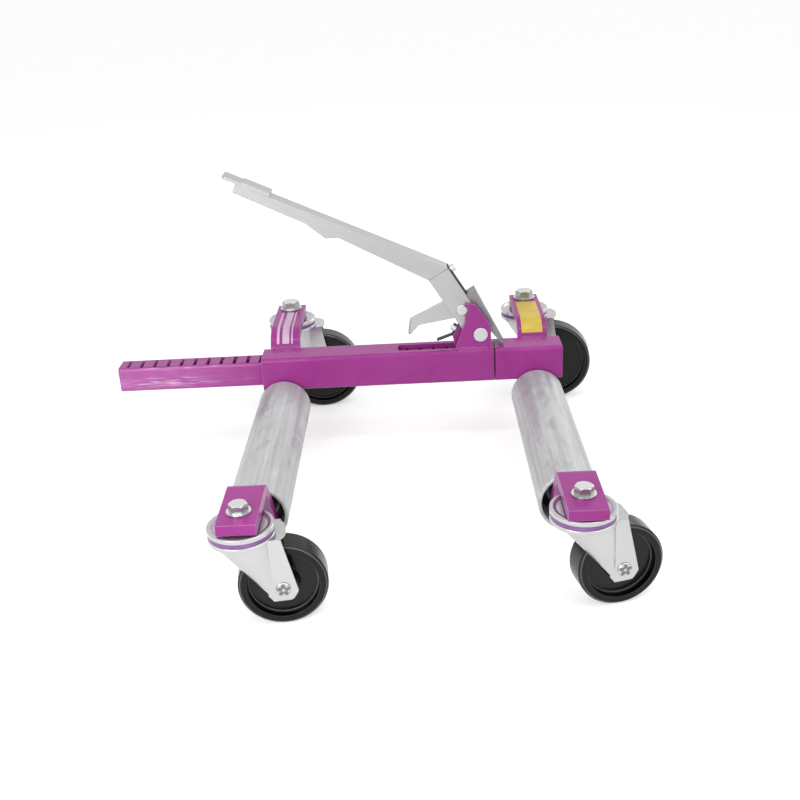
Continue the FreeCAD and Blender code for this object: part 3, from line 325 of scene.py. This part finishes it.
def zinc(
    name, shade, rough, metallic=0.75, tone=0.05, grain=EVEN_GRAIN, turn=UNTURNED, line=None, sides=1.0
):
    """Bright plated steel: a soft cloud, and faint drawn lines or a fine even grain; where sides is under
    one, painted shade darkens the upright faces.
    """
    material, tree, shader = new_material(name)
    cloud = noise(tree, place_coords(tree), scale=9.0, detail=2.0)
    low = tuple(part * (1.0 - tone) for part in shade)
    high = tuple(part * (1.0 + tone) for part in shade)
    colour = ramp(tree, cloud, low, high, *CLOUD_SPAN)
    drawn = noise(tree, place_coords(tree, grain, turn), scale=420.0, detail=3.0)
    scored = ramp(tree, drawn, (1.0 - tone,) * 3, WHITE, start=0.35, end=0.6)
    colour = blend_colour(tree, 1.0, colour, scored, "MULTIPLY")
    if line:
        colour = dark_line(tree, colour, *line)
    if sides < 1.0:
        colour = blend_colour(tree, 1.0, colour, upward_shade(tree, sides), "MULTIPLY")
    tree.links.new(colour, shader.inputs["Base Color"])
    shader.inputs["Metallic"].default_value = metallic
    roughness = [rough + part for part in ZINC_ROUGHNESS_SPREAD]
    tree.links.new(span(tree, drawn, *roughness, *CLOUD_SPAN), shader.inputs["Roughness"])
    set_bump(tree, shader, drawn, SCORE_DEPTH, strength=0.10, radius=METAL_EDGE_RADIUS)
    return material


def galvanised():
    """Galvanised tube: soft spangle, long draw streaks and handling smudges."""
    material, tree, shader = new_material("galvanised_steel")
    streak = noise(tree, place_coords(tree, STREAK_STRETCH), scale=150.0, detail=5.0, roughness=0.6)
    colour = ramp(tree, streak, ROLLER_DARK, ROLLER_PALE, start=0.26, end=0.74)
    spangle = add(tree, "TexVoronoi", scale=130.0)
    tree.links.new(place_coords(tree, SPANGLE_STRETCH), spangle.inputs["Vector"])
    tint = ramp(tree, spangle.outputs["Color"], SPANGLE_DARK, WHITE)
    colour = blend_colour(tree, 1.0, colour, tint, "MULTIPLY")
    smudge = noise(tree, place_coords(tree, SMUDGE_STRETCH), scale=26.0, detail=6.0, roughness=0.65)
    smudged = span(tree, smudge, 0.0, 0.8, start=0.53, end=0.72)
    colour = blend_colour(tree, smudged, colour, ROLLER_SMUDGE)
    tree.links.new(colour, shader.inputs["Base Color"])
    shader.inputs["Metallic"].default_value = 0.2
    tree.links.new(span(tree, streak, *ROLLER_ROUGHNESS, *CLOUD_SPAN), shader.inputs["Roughness"])
    set_bump(tree, shader, streak, STREAK_DEPTH, strength=0.2, radius=METAL_EDGE_RADIUS)
    return material


# Plastics and films

LIP_DEPTHS = (0.0118, 0.0024)
LIP_PAINTED_HIGHLIGHT = (0.16, 0.16, 0.165)
LIP_WEIGHT = 0.6
LIP_EDGE = (0.0003, 0.0008)
WALL_PAINTED_REFLECTION = (0.0012, 0.0012, 0.0013)
WALL_OUTER_EDGE = (0.0020, 0.0030)
WALL_INNER_EDGE = (0.0112, 0.0122)
RUB_SHADE = (0.30, 0.30, 0.31)
MOULDED_LOW = (1.0, 1.0, 1.05)
MOULDED_HIGH = (1.7, 1.7, 1.8)
MOULDED_ROUGHNESS_SPREAD = (-0.05, 0.08)
MOULDED_EDGE_RADIUS = 0.0012
MOULDED_GRAIN_DEPTH = 0.0001
SEAL_LOW = (0.22, 0.08, 0.30)
SEAL_HIGH = (0.32, 0.14, 0.40)
SEAL_ROUGHNESS = (0.35, 0.5)
FILM_ROUGHNESS = (0.32, 0.46)
FILM_GRAIN_DEPTH = 0.00005


def rim_shades(tree, colour, centre, axis, outer):
    """Blacker side wall, a painted dark reflection, and pale lips, painted highlights, round a wheel's rim.
    """
    across = add(tree, "VectorMath", operation="CROSS_PRODUCT")
    tree.links.new(offset_from(tree, centre), across.inputs[0])
    across.inputs[1].default_value = axis
    reach = add(tree, "VectorMath", operation="LENGTH")
    tree.links.new(across.outputs["Vector"], reach.inputs[0])
    depth = maths(tree, "SUBTRACT", outer, reach.outputs["Value"])
    inside = span(tree, depth, 0.0, 1.0, *WALL_OUTER_EDGE)
    wall = product(tree, inside, span(tree, depth, 1.0, 0.0, *WALL_INNER_EDGE))
    # Painted reflection: the side wall is made blacker. Painted highlights: pale lines at both lips.
    colour = blend_colour(tree, wall, colour, WALL_PAINTED_REFLECTION)
    for lip in LIP_DEPTHS:
        line = span(tree, distance(tree, depth, lip), LIP_WEIGHT, 0.0, *LIP_EDGE)
        colour = blend_colour(tree, line, colour, LIP_PAINTED_HIGHLIGHT)
    return colour


def black_moulding(name, shade, rough, edge=0.0, rim=None):
    """Black moulded plastic or rubber, with a fine grain, dusty patches and rubbed edges."""
    material, tree, shader = new_material(name)
    coords = place_coords(tree)
    cloud = noise(tree, coords, scale=30.0, detail=5.0)
    low = tuple(shade * part for part in MOULDED_LOW)
    high = tuple(shade * part for part in MOULDED_HIGH)
    colour = ramp(tree, cloud, low, high, start=0.35, end=0.75)
    if rim:
        colour = rim_shades(tree, colour, *rim)
    rub = product(tree, edge_mask(tree, MOULDED_EDGE_RADIUS, reach=0.2), edge)
    tree.links.new(blend_colour(tree, rub, colour, RUB_SHADE), shader.inputs["Base Color"])
    roughness = [rough + part for part in MOULDED_ROUGHNESS_SPREAD]
    tree.links.new(span(tree, cloud, *roughness, *CLOUD_SPAN), shader.inputs["Roughness"])
    shader.inputs["Specular IOR Level"].default_value = 0.27
    grain = noise(tree, coords, scale=900.0, detail=2.0)
    set_bump(tree, shader, grain, MOULDED_GRAIN_DEPTH, strength=0.08, radius=MOULDED_EDGE_RADIUS)
    return material


def violet_seal():
    """Soft violet plastic of the dust seals."""
    material, tree, shader = new_material("violet_seal")
    coords = place_coords(tree)
    cloud = noise(tree, coords, scale=50.0)
    tree.links.new(ramp(tree, cloud, SEAL_LOW, SEAL_HIGH, *CLOUD_SPAN), shader.inputs["Base Color"])
    tree.links.new(span(tree, cloud, *SEAL_ROUGHNESS), shader.inputs["Roughness"])
    set_bump(tree, shader, noise(tree, coords, scale=500.0), MOULDED_GRAIN_DEPTH, strength=0.15)
    return material


def film(name, low, high):
    """Plain film of a blank patch, a little uneven and rubbed."""
    material, tree, shader = new_material(name)
    coords = place_coords(tree)
    cloud = noise(tree, coords, scale=60.0, detail=4.0)
    tree.links.new(ramp(tree, cloud, low, high, *CLOUD_SPAN), shader.inputs["Base Color"])
    tree.links.new(span(tree, cloud, *FILM_ROUGHNESS), shader.inputs["Roughness"])
    grain = noise(tree, coords, scale=900.0, detail=2.0)
    set_bump(tree, shader, grain, FILM_GRAIN_DEPTH, strength=0.15)
    return material


# Finishes of the CAD nodes

ARM_TURN = (0.0, math.radians(-25.1), 0.0)
MITRE_HALF = 0.0008
MITRE_FIT = 0.0002
PLATED = (0.47, 0.472, 0.478)
DULLED = (0.49, 0.492, 0.498)
BRIGHT = (0.55, 0.55, 0.555)
BOLTED = (0.70, 0.70, 0.705)
STAKED = (0.20, 0.20, 0.205)
STOPPED = (0.30, 0.295, 0.30)
PEENED = (0.66, 0.66, 0.665)
SHAFTED = (0.22, 0.22, 0.22)
WHEEL_BLACK = 0.006
LEAF_BLACK = 0.006
BUSH_BLACK = 0.010

purple = purple_paint()
pressed = zinc("pressed_zinc", BRIGHT, rough=0.24, metallic=0.85)
staked = zinc("staked_zinc", STAKED, rough=0.34)


def paint(material, *names):
    """Give CAD nodes a material."""
    for name in names:
        nodes[name].data.materials.clear()
        nodes[name].data.materials.append(material)


def mitre():
    """Place, normal and half width of the joint line between the pedal's arm and its stem."""
    stem = node_points("pedal_stem")
    shared = [
        spot for spot in node_points("pedal_arm")
        if min((spot - other).length for other in stem) < MITRE_FIT
    ]
    low, high = (pick(shared, key=lambda spot: spot.z) for pick in (min, max))
    across = Vector((low.z - high.z, 0.0, high.x - low.x)).normalized()
    return low, across, MITRE_HALF


def dress_frame_and_pedal():
    """Finish the square tubes, the pedal and the pawls."""
    paint(purple, "outer_tube", "inner_tube", "end_sleeve", "front_ear", "rear_ear", "hold_pawl")
    drawn = {"tone": 0.03, "grain": DRAWN_GRAIN, "turn": ARM_TURN}
    line = mitre()
    paint(zinc("plate_zinc", PLATED, rough=0.38, **drawn), "foot_plate")
    paint(zinc("arm_zinc", PLATED, rough=0.38, line=line, **drawn), "pedal_arm")
    paint(zinc("stem_zinc", DULLED, rough=0.38, line=line), "pedal_stem")
    paint(zinc("pawl_zinc", DULLED, rough=0.38), "drive_pawl")
    paint(zinc("stop_zinc", STOPPED, rough=0.42), "stop_plate")
    paint(zinc("peened_zinc", PEENED, rough=0.36, metallic=0.6), "pivot_pin", "pawl_pin")
    paint(black_moulding("black_leaf", LEAF_BLACK, rough=0.45), "return_leaf", "hold_leaf")


def dress_wheel(label):
    """Finish a wheel, with painted reflection and highlights on its rim, measured about its own axle."""
    centre, axis = joint_axis(label + "wheel_spin")
    outer = max((spot - centre).cross(axis).length for spot in node_points(label + "wheel"))
    rim = (centre, axis, outer)
    rubber = black_moulding(label + "black_wheel", WHEEL_BLACK, rough=0.22, edge=0.25, rim=rim)
    paint(rubber, label + "wheel")


def dress():
    """Hand every CAD node its finish."""
    dress_frame_and_pedal()
    pins = zinc("pin_zinc", BOLTED, rough=0.25, metallic=0.85)
    # The bolts get painted shade on their upright faces.
    bolted = zinc("bolt_zinc", BOLTED, rough=0.25, metallic=0.85, sides=0.5)
    shaft = zinc("shaft_steel", SHAFTED, rough=0.4)
    bush = black_moulding("black_bush", BUSH_BLACK, rough=0.5)
    tube = galvanised()
    seal = violet_seal()
    paint(pins, "leaf_bolt", "hold_bolt")
    for side in SIDES:
        paint(tube, side + "_roller_tube")
        paint(shaft, side + "_roller_shaft", side + "_roller_clip")
        paint(bush, side + "_roller_bushes")
        paint(pins, side + "_caster_nuts")
    for side, end in CASTERS:
        label = "%s_%s_" % (side, end)
        paint(purple, label + "bracket")
        paint(bolted, label + "bolt")
        paint(pressed, label + "cap", label + "fork", label + "axle")
        paint(seal, label + "seal")
        paint(bush, label + "wheel_bush")
        dress_wheel(label)


# Pieces added to the CAD model

SHARP_ANGLE = math.radians(40.0)


def new_piece(name, points, faces, material, body):
    """A mesh piece, smooth but for its sharp edges, that rides on a body."""
    mesh = bpy.data.meshes.new(name)
    mesh.from_pydata(points, [], faces)
    for face in mesh.polygons:
        face.use_smooth = True
    mesh.set_sharp_from_angle(angle=SHARP_ANGLE)
    mesh.materials.append(material)
    piece = bpy.data.objects.new(name, mesh)
    bpy.context.scene.collection.objects.link(piece)
    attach(piece, body)
    return piece


# Weld beads

BEAD_STEP = 0.0006
BEAD_LEAST_STEPS = 8
BEAD_ARC = 7
BEAD_SINK = 0.0006
BEAD_TAPER = 0.004
BEAD_TIP_SHARE = 0.45
BEAD_BASE_SHARE = 0.90
BEAD_RIPPLE = 0.0030
BEAD_RIPPLE_SHARE = 0.14
# Each wander's share of the radius, its turns in radians a metre and its start
BEAD_WANDERS = ((0.06, 310.0, 0.0), (0.05, 173.0, 1.0))


def bead_radius(place, length, radius):
    """The bead's radius at a place along it: rippled, wandering, and tapered at both ends."""
    share = BEAD_BASE_SHARE + BEAD_RIPPLE_SHARE * abs(math.sin(math.pi * place / BEAD_RIPPLE))
    for wander, pace, start in BEAD_WANDERS:
        share += wander * math.sin(place * pace + start)
    rise = (1.0 - BEAD_TIP_SHARE) * min(place, length - place) / BEAD_TAPER
    return radius * share * min(1.0, BEAD_TIP_SHARE + rise)


def weld_bead(name, body, start, end, first, second, radius):
    """Rippled fillet weld in the corner between two directions."""
    start, end, first, second = (Vector(value) for value in (start, end, first, second))
    run = end - start
    count = max(BEAD_LEAST_STEPS, round(run.length / BEAD_STEP))
    points = []
    for number in range(count + 1):
        size = bead_radius(run.length * number / count, run.length, radius)
        centre = start + run * number / count
        points.append(centre - (first + second).normalized() * BEAD_SINK)
        for step in range(BEAD_ARC):
            turn = math.pi / 2 * step / (BEAD_ARC - 1)
            points.append(centre + size * (first * math.cos(turn) + second * math.sin(turn)))
    ring = BEAD_ARC + 1
    faces = [tuple(reversed(range(ring))), tuple(range(count * ring, (count + 1) * ring))]
    for number in range(count):
        near, far = number * ring, (number + 1) * ring
        for step in range(ring):
            after = (step + 1) % ring
            faces.append((near + step, near + after, far + after, far + step))
    return new_piece(name, points, faces, purple, body)


UP = (0.0, 0.0, 1.0)
EAR_BEAD = 0.0042
EAR_BEAD_TILT = math.radians(35.0)
EAR_BEAD_INSET = 0.004
EAR_BEAD_LOWERED = 0.0002
STRAP_LEVEL_BEAD = 0.0048
STRAP_LEVEL_LEAN = (-0.9, 0.44)
STRAP_LEVEL_INSET = 0.002
STRAP_LEVEL_DROP = 0.0045
STRAP_UPRIGHT_BEAD = 0.0040
STRAP_UPRIGHT_INSET = 0.007
SHAFT_BEAD = 0.0036
SHAFT_BEAD_LEAN = (0.45, -0.89)
SHAFT_BEAD_OUT = 0.0085
SHAFT_BEAD_INSETS = (0.006, 0.003)
LEFT_AND_RIGHT = (("left", -1.0), ("right", 1.0))


def weld_ears(high):
    """Beads along the feet of the pedal's ears, on the beam's top."""
    for name, face, out in (("front_ear", 0, -1.0), ("rear_ear", 1, 1.0)):
        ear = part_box(name)
        wide = (ear[0].x + EAR_BEAD_INSET, ear[1].x - EAR_BEAD_INSET)
        ends = [(x, ear[face].y, high.z - EAR_BEAD_LOWERED) for x in wide]
        outward = (0.0, out * math.cos(EAR_BEAD_TILT), -math.sin(EAR_BEAD_TILT))
        weld_bead(name + "_weld", "frame", *ends, outward, UP, EAR_BEAD)


def weld_strap(side, low, high):
    """Beads where a far strap crosses the back of its square tube: at the tube's edges and the strap's."""
    body = HALF_BODY[side]
    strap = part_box(side + "_far_bracket")
    wide = (strap[0].x + STRAP_LEVEL_INSET, strap[1].x - STRAP_LEVEL_INSET)
    levels = (("top", high.z - STRAP_LEVEL_DROP, 1.0), ("low", low.z + STRAP_LEVEL_DROP, -1.0))
    for word, level, out in levels:
        name = "%s_strap_%s_weld" % (side, word)
        ends = [(x, strap[0].y, level) for x in wide]
        lean = (0.0, STRAP_LEVEL_LEAN[0], STRAP_LEVEL_LEAN[1] * out)
        weld_bead(name, body, *ends, lean, (0.0, 0.0, out), STRAP_LEVEL_BEAD)
    for corner, (word, out) in zip(strap, LEFT_AND_RIGHT):
        name = "%s_strap_%s_weld" % (side, word)
        heights = (low.z + STRAP_UPRIGHT_INSET, high.z - STRAP_UPRIGHT_INSET)
        ends = [(corner.x, high.y, z) for z in heights]
        weld_bead(name, body, *ends, (out, 0.0, 0.0), (0.0, 1.0, 0.0), STRAP_UPRIGHT_BEAD)


def weld_shaft(side, low, high):
    """Beads on both sides of a roller shaft, under its square tube."""
    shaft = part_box(side + "_roller_shaft")
    middle = (shaft[0].x + shaft[1].x) / 2
    depths = (low.y + SHAFT_BEAD_INSETS[0], high.y - SHAFT_BEAD_INSETS[1])
    for word, out in LEFT_AND_RIGHT:
        name = "%s_shaft_%s_weld" % (side, word)
        ends = [(middle + out * SHAFT_BEAD_OUT, y, low.z) for y in depths]
        lean = (SHAFT_BEAD_LEAN[0] * out, 0.0, SHAFT_BEAD_LEAN[1])
        weld_bead(name, HALF_BODY[side], *ends, (out, 0.0, 0.0), lean, SHAFT_BEAD)


def make_welds():
    """Painted weld beads along the joints of the frame."""
    low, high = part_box("outer_tube")
    weld_ears(high)
    for side in SIDES:
        weld_strap(side, low, high)
        weld_shaft(side, low, high)


# Far straps and their blank films

STRAP_THICK = 0.0127
STRAP_ROUND = 0.040
STRAP_ARC_STEPS = 24
STRAP_EDGE = 0.0009
STRAP_EDGE_STEPS = 3


def band_over(name, path, wide, thick, material, body):
    """Closed band, between two heights over a path of points and outward directions in the YZ plane."""
    points = []
    for lift in thick:
        for (y, z), (out_y, out_z) in path:
            for x in wide:
                points.append((x, y + lift * out_y, z + lift * out_z))
    count = len(path)
    faces = []
    for number in range(count - 1):
        near, far = 2 * number, 2 * number + 2
        faces.append((near, far, far + 1, near + 1))
        faces.append(tuple(2 * count + index for index in (near, near + 1, far + 1, far)))
        for step in (0, 1):
            edge = [near + step, far + step, 2 * count + far + step, 2 * count + near + step]
            faces.append(tuple(edge if step else reversed(edge)))
    for row, flip in ((0, False), (2 * (count - 1), True)):
        edge = [row, row + 1, 2 * count + row + 1, 2 * count + row]
        faces.append(tuple(reversed(edge) if flip else edge))
    return new_piece(name, points, faces, material, body)


def strap_path(side, start_z, end_y):
    """Up the front of a far strap, round its bend and back along its top. No start means from the bend."""
    low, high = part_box(side + "_far_bracket")
    path = [] if start_z is None else [((low.y, start_z), (-1.0, 0.0))]
    for step in range(STRAP_ARC_STEPS + 1):
        turn = math.pi / 2 * step / STRAP_ARC_STEPS
        out_y, out_z = -math.cos(turn), math.sin(turn)
        y = low.y + STRAP_ROUND + STRAP_ROUND * out_y
        z = high.z - STRAP_ROUND + STRAP_ROUND * out_z
        path.append(((y, z), (out_y, out_z)))
    path.append(((end_y, high.z), (0.0, 1.0)))
    return path


def make_straps():
    """Far straps with the wide bend of the photograph, in place of their plainer solids."""
    for side in SIDES:
        node = side + "_far_bracket"
        low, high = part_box(node)
        path = strap_path(side, low.z, high.y)
        wide = (low.x, high.x)
        thick = (-STRAP_THICK, 0.0)
        strap = band_over(side + "_far_strap", path, wide, thick, purple, HALF_BODY[side])
        edge = strap.modifiers.new("rounded_edges", "BEVEL")
        edge.width = STRAP_EDGE
        edge.segments = STRAP_EDGE_STEPS
        edge.angle_limit = SHARP_ANGLE
        edge.harden_normals = True
        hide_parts(node)


PATCH_LIFT = 0.00012
PATCH_THICK = 0.00016
PATCH_BOLT_GAP = 0.002
PATCH_SKIPPED_STEPS = 9
YELLOW_LOW = (0.62, 0.44, 0.045)
YELLOW_HIGH = (0.74, 0.56, 0.075)
PALE_LOW = (0.60, 0.40, 0.57)
PALE_HIGH = (0.72, 0.55, 0.69)
# Left and right edges of the films, from the middle of their strap
YELLOW_EDGES = {"": (-0.0158, 0.0158)}
PALE_EDGES = {"_0": (-0.0125, -0.0085), "_1": (-0.004, 0.0065), "_2": (0.0095, 0.0120)}


def make_patches():
    """Blank film where the original carries printed labels."""
    films = {
        "right": (film("yellow_film", YELLOW_LOW, YELLOW_HIGH), YELLOW_EDGES),
        "left": (film("pale_film", PALE_LOW, PALE_HIGH), PALE_EDGES),
    }
    thick = (PATCH_LIFT, PATCH_LIFT + PATCH_THICK)
    for side, (material, edges) in films.items():
        low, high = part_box(side + "_far_bracket")
        middle = (low.x + high.x) / 2
        end_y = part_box(side + "_far_bolt")[0].y - PATCH_BOLT_GAP
        path = strap_path(side, None, end_y)[PATCH_SKIPPED_STEPS:]
        for word, (left, right) in edges.items():
            wide = (middle + left, middle + right)
            band_over(side + "_strap_patch" + word, path, wide, thick, material, HALF_BODY[side])


# Staked axle ends

LOBES = 5
LOBE_RINGS = 5
LOBE_STEPS = 12
LOBE_START = 0.3
LOBE_PLACE = 0.0047
LOBE_LONG = 0.0034
LOBE_WIDE = 0.0026
LOBE_HIGH = 0.0013
LOBE_SINK = 0.0004


def axle_stake(name, centre, axis, body):
    """Five swaged lobes round the end of an axle."""
    up = Vector(UP)
    across = axis.cross(up).normalized()
    points, faces = [], []
    for lobe in range(LOBES):
        turn = math.tau * lobe / LOBES + LOBE_START
        radial = math.cos(turn) * across + math.sin(turn) * up
        tangent = axis.cross(radial)
        middle = centre + radial * LOBE_PLACE
        first = len(points)
        for ring in range(LOBE_RINGS):
            tilt = math.pi / 2 * ring / LOBE_RINGS
            lift = axis * (LOBE_HIGH * math.sin(tilt) - LOBE_SINK)
            for step in range(LOBE_STEPS):
                angle = math.tau * step / LOBE_STEPS
                flat = radial * LOBE_LONG * math.cos(angle) + tangent * LOBE_WIDE * math.sin(angle)
                points.append(middle + flat * math.cos(tilt) + lift)
        points.append(middle + axis * (LOBE_HIGH - LOBE_SINK))
        for ring in range(LOBE_RINGS - 1):
            low, high = first + ring * LOBE_STEPS, first + (ring + 1) * LOBE_STEPS
            for step in range(LOBE_STEPS):
                after = (step + 1) % LOBE_STEPS
                faces.append((low + step, low + after, high + after, high + step))
        last = first + (LOBE_RINGS - 1) * LOBE_STEPS
        for step in range(LOBE_STEPS):
            faces.append((last + step, last + (step + 1) % LOBE_STEPS, len(points) - 1))
        faces.append(tuple(first + step for step in reversed(range(LOBE_STEPS))))
    return new_piece(name, points, faces, staked, body)


def make_stakes():
    """Staked ends on both sides of every caster's axle."""
    for side, end in CASTERS:
        label = "%s_%s" % (side, end)
        middle, axis = joint_axis(label + "_wheel_spin")
        reach = max((spot - middle).dot(axis) for spot in node_points(label + "_axle"))
        for word, sign in (("out", -1.0), ("in", 1.0)):
            spot = middle + axis * sign * reach
            axle_stake("%s_stake_%s" % (label, word), spot, axis * sign, label + "_swivel")


# Stage, lights and camera

PHOTO_SIDE = 800
FOCAL_PIXELS = 1042.9
SENSOR_WIDTH = 36.0
CAMERA_PLACE = (0.0871, -1.3082, 0.6948)
CAMERA_YAW = -1.35
CAMERA_PITCH = 23.28
CAMERA_ROLL = 3.13


def make_camera():
    """Camera at the photograph's place and angle."""
    data = bpy.data.cameras.new("photo_camera")
    data.sensor_width = SENSOR_WIDTH
    data.lens = FOCAL_PIXELS / PHOTO_SIDE * SENSOR_WIDTH
    camera = bpy.data.objects.new("photo_camera", data)
    bpy.context.scene.collection.objects.link(camera)
    yaw, pitch, roll = (math.radians(angle) for angle in (CAMERA_YAW, CAMERA_PITCH, CAMERA_ROLL))
    ahead = math.cos(pitch)
    forward = Vector((math.sin(yaw) * ahead, math.cos(yaw) * ahead, -math.sin(pitch)))
    level = Vector((math.cos(yaw), -math.sin(yaw), 0.0))
    down = forward.cross(level)
    right = math.cos(roll) * level + math.sin(roll) * down
    up = right.cross(forward)
    turn = Matrix((right, up, -forward)).transposed()
    camera.matrix_world = Matrix.Translation(CAMERA_PLACE) @ turn.to_4x4()
    bpy.context.scene.camera = camera


def seen_directly(tree):
    """One for rays from the camera, and for those it sees mirrored or through glass."""
    path = add(tree, "LightPath")
    total = path.outputs["Is Camera Ray"]
    for name in ("Is Glossy Ray", "Is Transmission Ray"):
        total = maths(tree, "MAXIMUM", total, path.outputs[name])
    return total


FLOOR_SIZE = 400.0
FLOOR_SHADE = 0.86
FLOOR_LIFT = 0.47


def make_floor():
    """Pale floor that keeps a soft shadow and meets a white background."""
    mesh = bpy.data.meshes.new("floor")
    half = FLOOR_SIZE / 2
    corners = [(-half, -half, 0.0), (half, -half, 0.0), (half, half, 0.0), (-half, half, 0.0)]
    mesh.from_pydata(corners, [], [(0, 1, 2, 3)])
    floor = bpy.data.objects.new("floor", mesh)
    bpy.context.scene.collection.objects.link(floor)
    material, tree, shader = new_material("floor_white")
    shader.inputs["Base Color"].default_value = (FLOOR_SHADE, FLOOR_SHADE, FLOOR_SHADE, 1.0)
    shader.inputs["Roughness"].default_value = 0.9
    shader.inputs["Specular IOR Level"].default_value = 0.0
    shader.inputs["Emission Color"].default_value = (*WHITE, 1.0)
    lift = product(tree, seen_directly(tree), FLOOR_LIFT)
    tree.links.new(lift, shader.inputs["Emission Strength"])
    mesh.materials.append(material)


WORLD_LEVEL = 0.38


def make_world():
    """White surround, plain level for light and full white where it is seen."""
    world = bpy.data.worlds.new("studio")
    bpy.context.scene.world = world
    world.use_nodes = True
    tree = world.node_tree
    surround = tree.nodes["Background"]
    surround.inputs["Color"].default_value = (*WHITE, 1.0)
    tree.links.new(span(tree, seen_directly(tree), WORLD_LEVEL, 1.0), surround.inputs["Strength"])


LIGHT_AIM = (0.0, 0.0, 0.15)
SUN_PLACE = (1.2, -0.4, 1.7)
SUN_STRENGTH = 0.85
SUN_ANGLE = math.radians(60.0)
# Name, place, watts, width and height of each area lamp
AREA_LAMPS = (
    ("key", (-0.7, -1.4, 0.9), 15.0, 0.9, 0.9),
    ("rim", (1.8, 2.2, 1.5), 10.0, 1.2, 0.8),
    ("strip", (0.1, -0.45, 1.8), 5.0, 1.6, 0.08),
)


def add_light(name, kind, place, energy):
    """A lamp at a place that faces the object."""
    data = bpy.data.lights.new(name, kind)
    data.energy = energy
    lamp = bpy.data.objects.new(name, data)
    bpy.context.scene.collection.objects.link(lamp)
    lamp.location = place
    lamp.rotation_mode = "QUATERNION"
    lamp.rotation_quaternion = (Vector(LIGHT_AIM) - Vector(place)).to_track_quat("-Z", "Y")
    return data


def make_lights():
    """Broad soft light from the upper right, a key in front, a rim light behind and a strip above."""
    add_light("overhead", "SUN", SUN_PLACE, SUN_STRENGTH).angle = SUN_ANGLE
    for name, place, power, width, height in AREA_LAMPS:
        lamp = add_light(name, "AREA", place, power)
        lamp.shape = "RECTANGLE"
        lamp.size = width
        lamp.size_y = height


dress()
make_welds()
make_straps()
make_patches()
make_stakes()
make_camera()
make_floor()
make_world()
make_lights()
bpy.context.scene.view_settings.view_transform = "Standard"
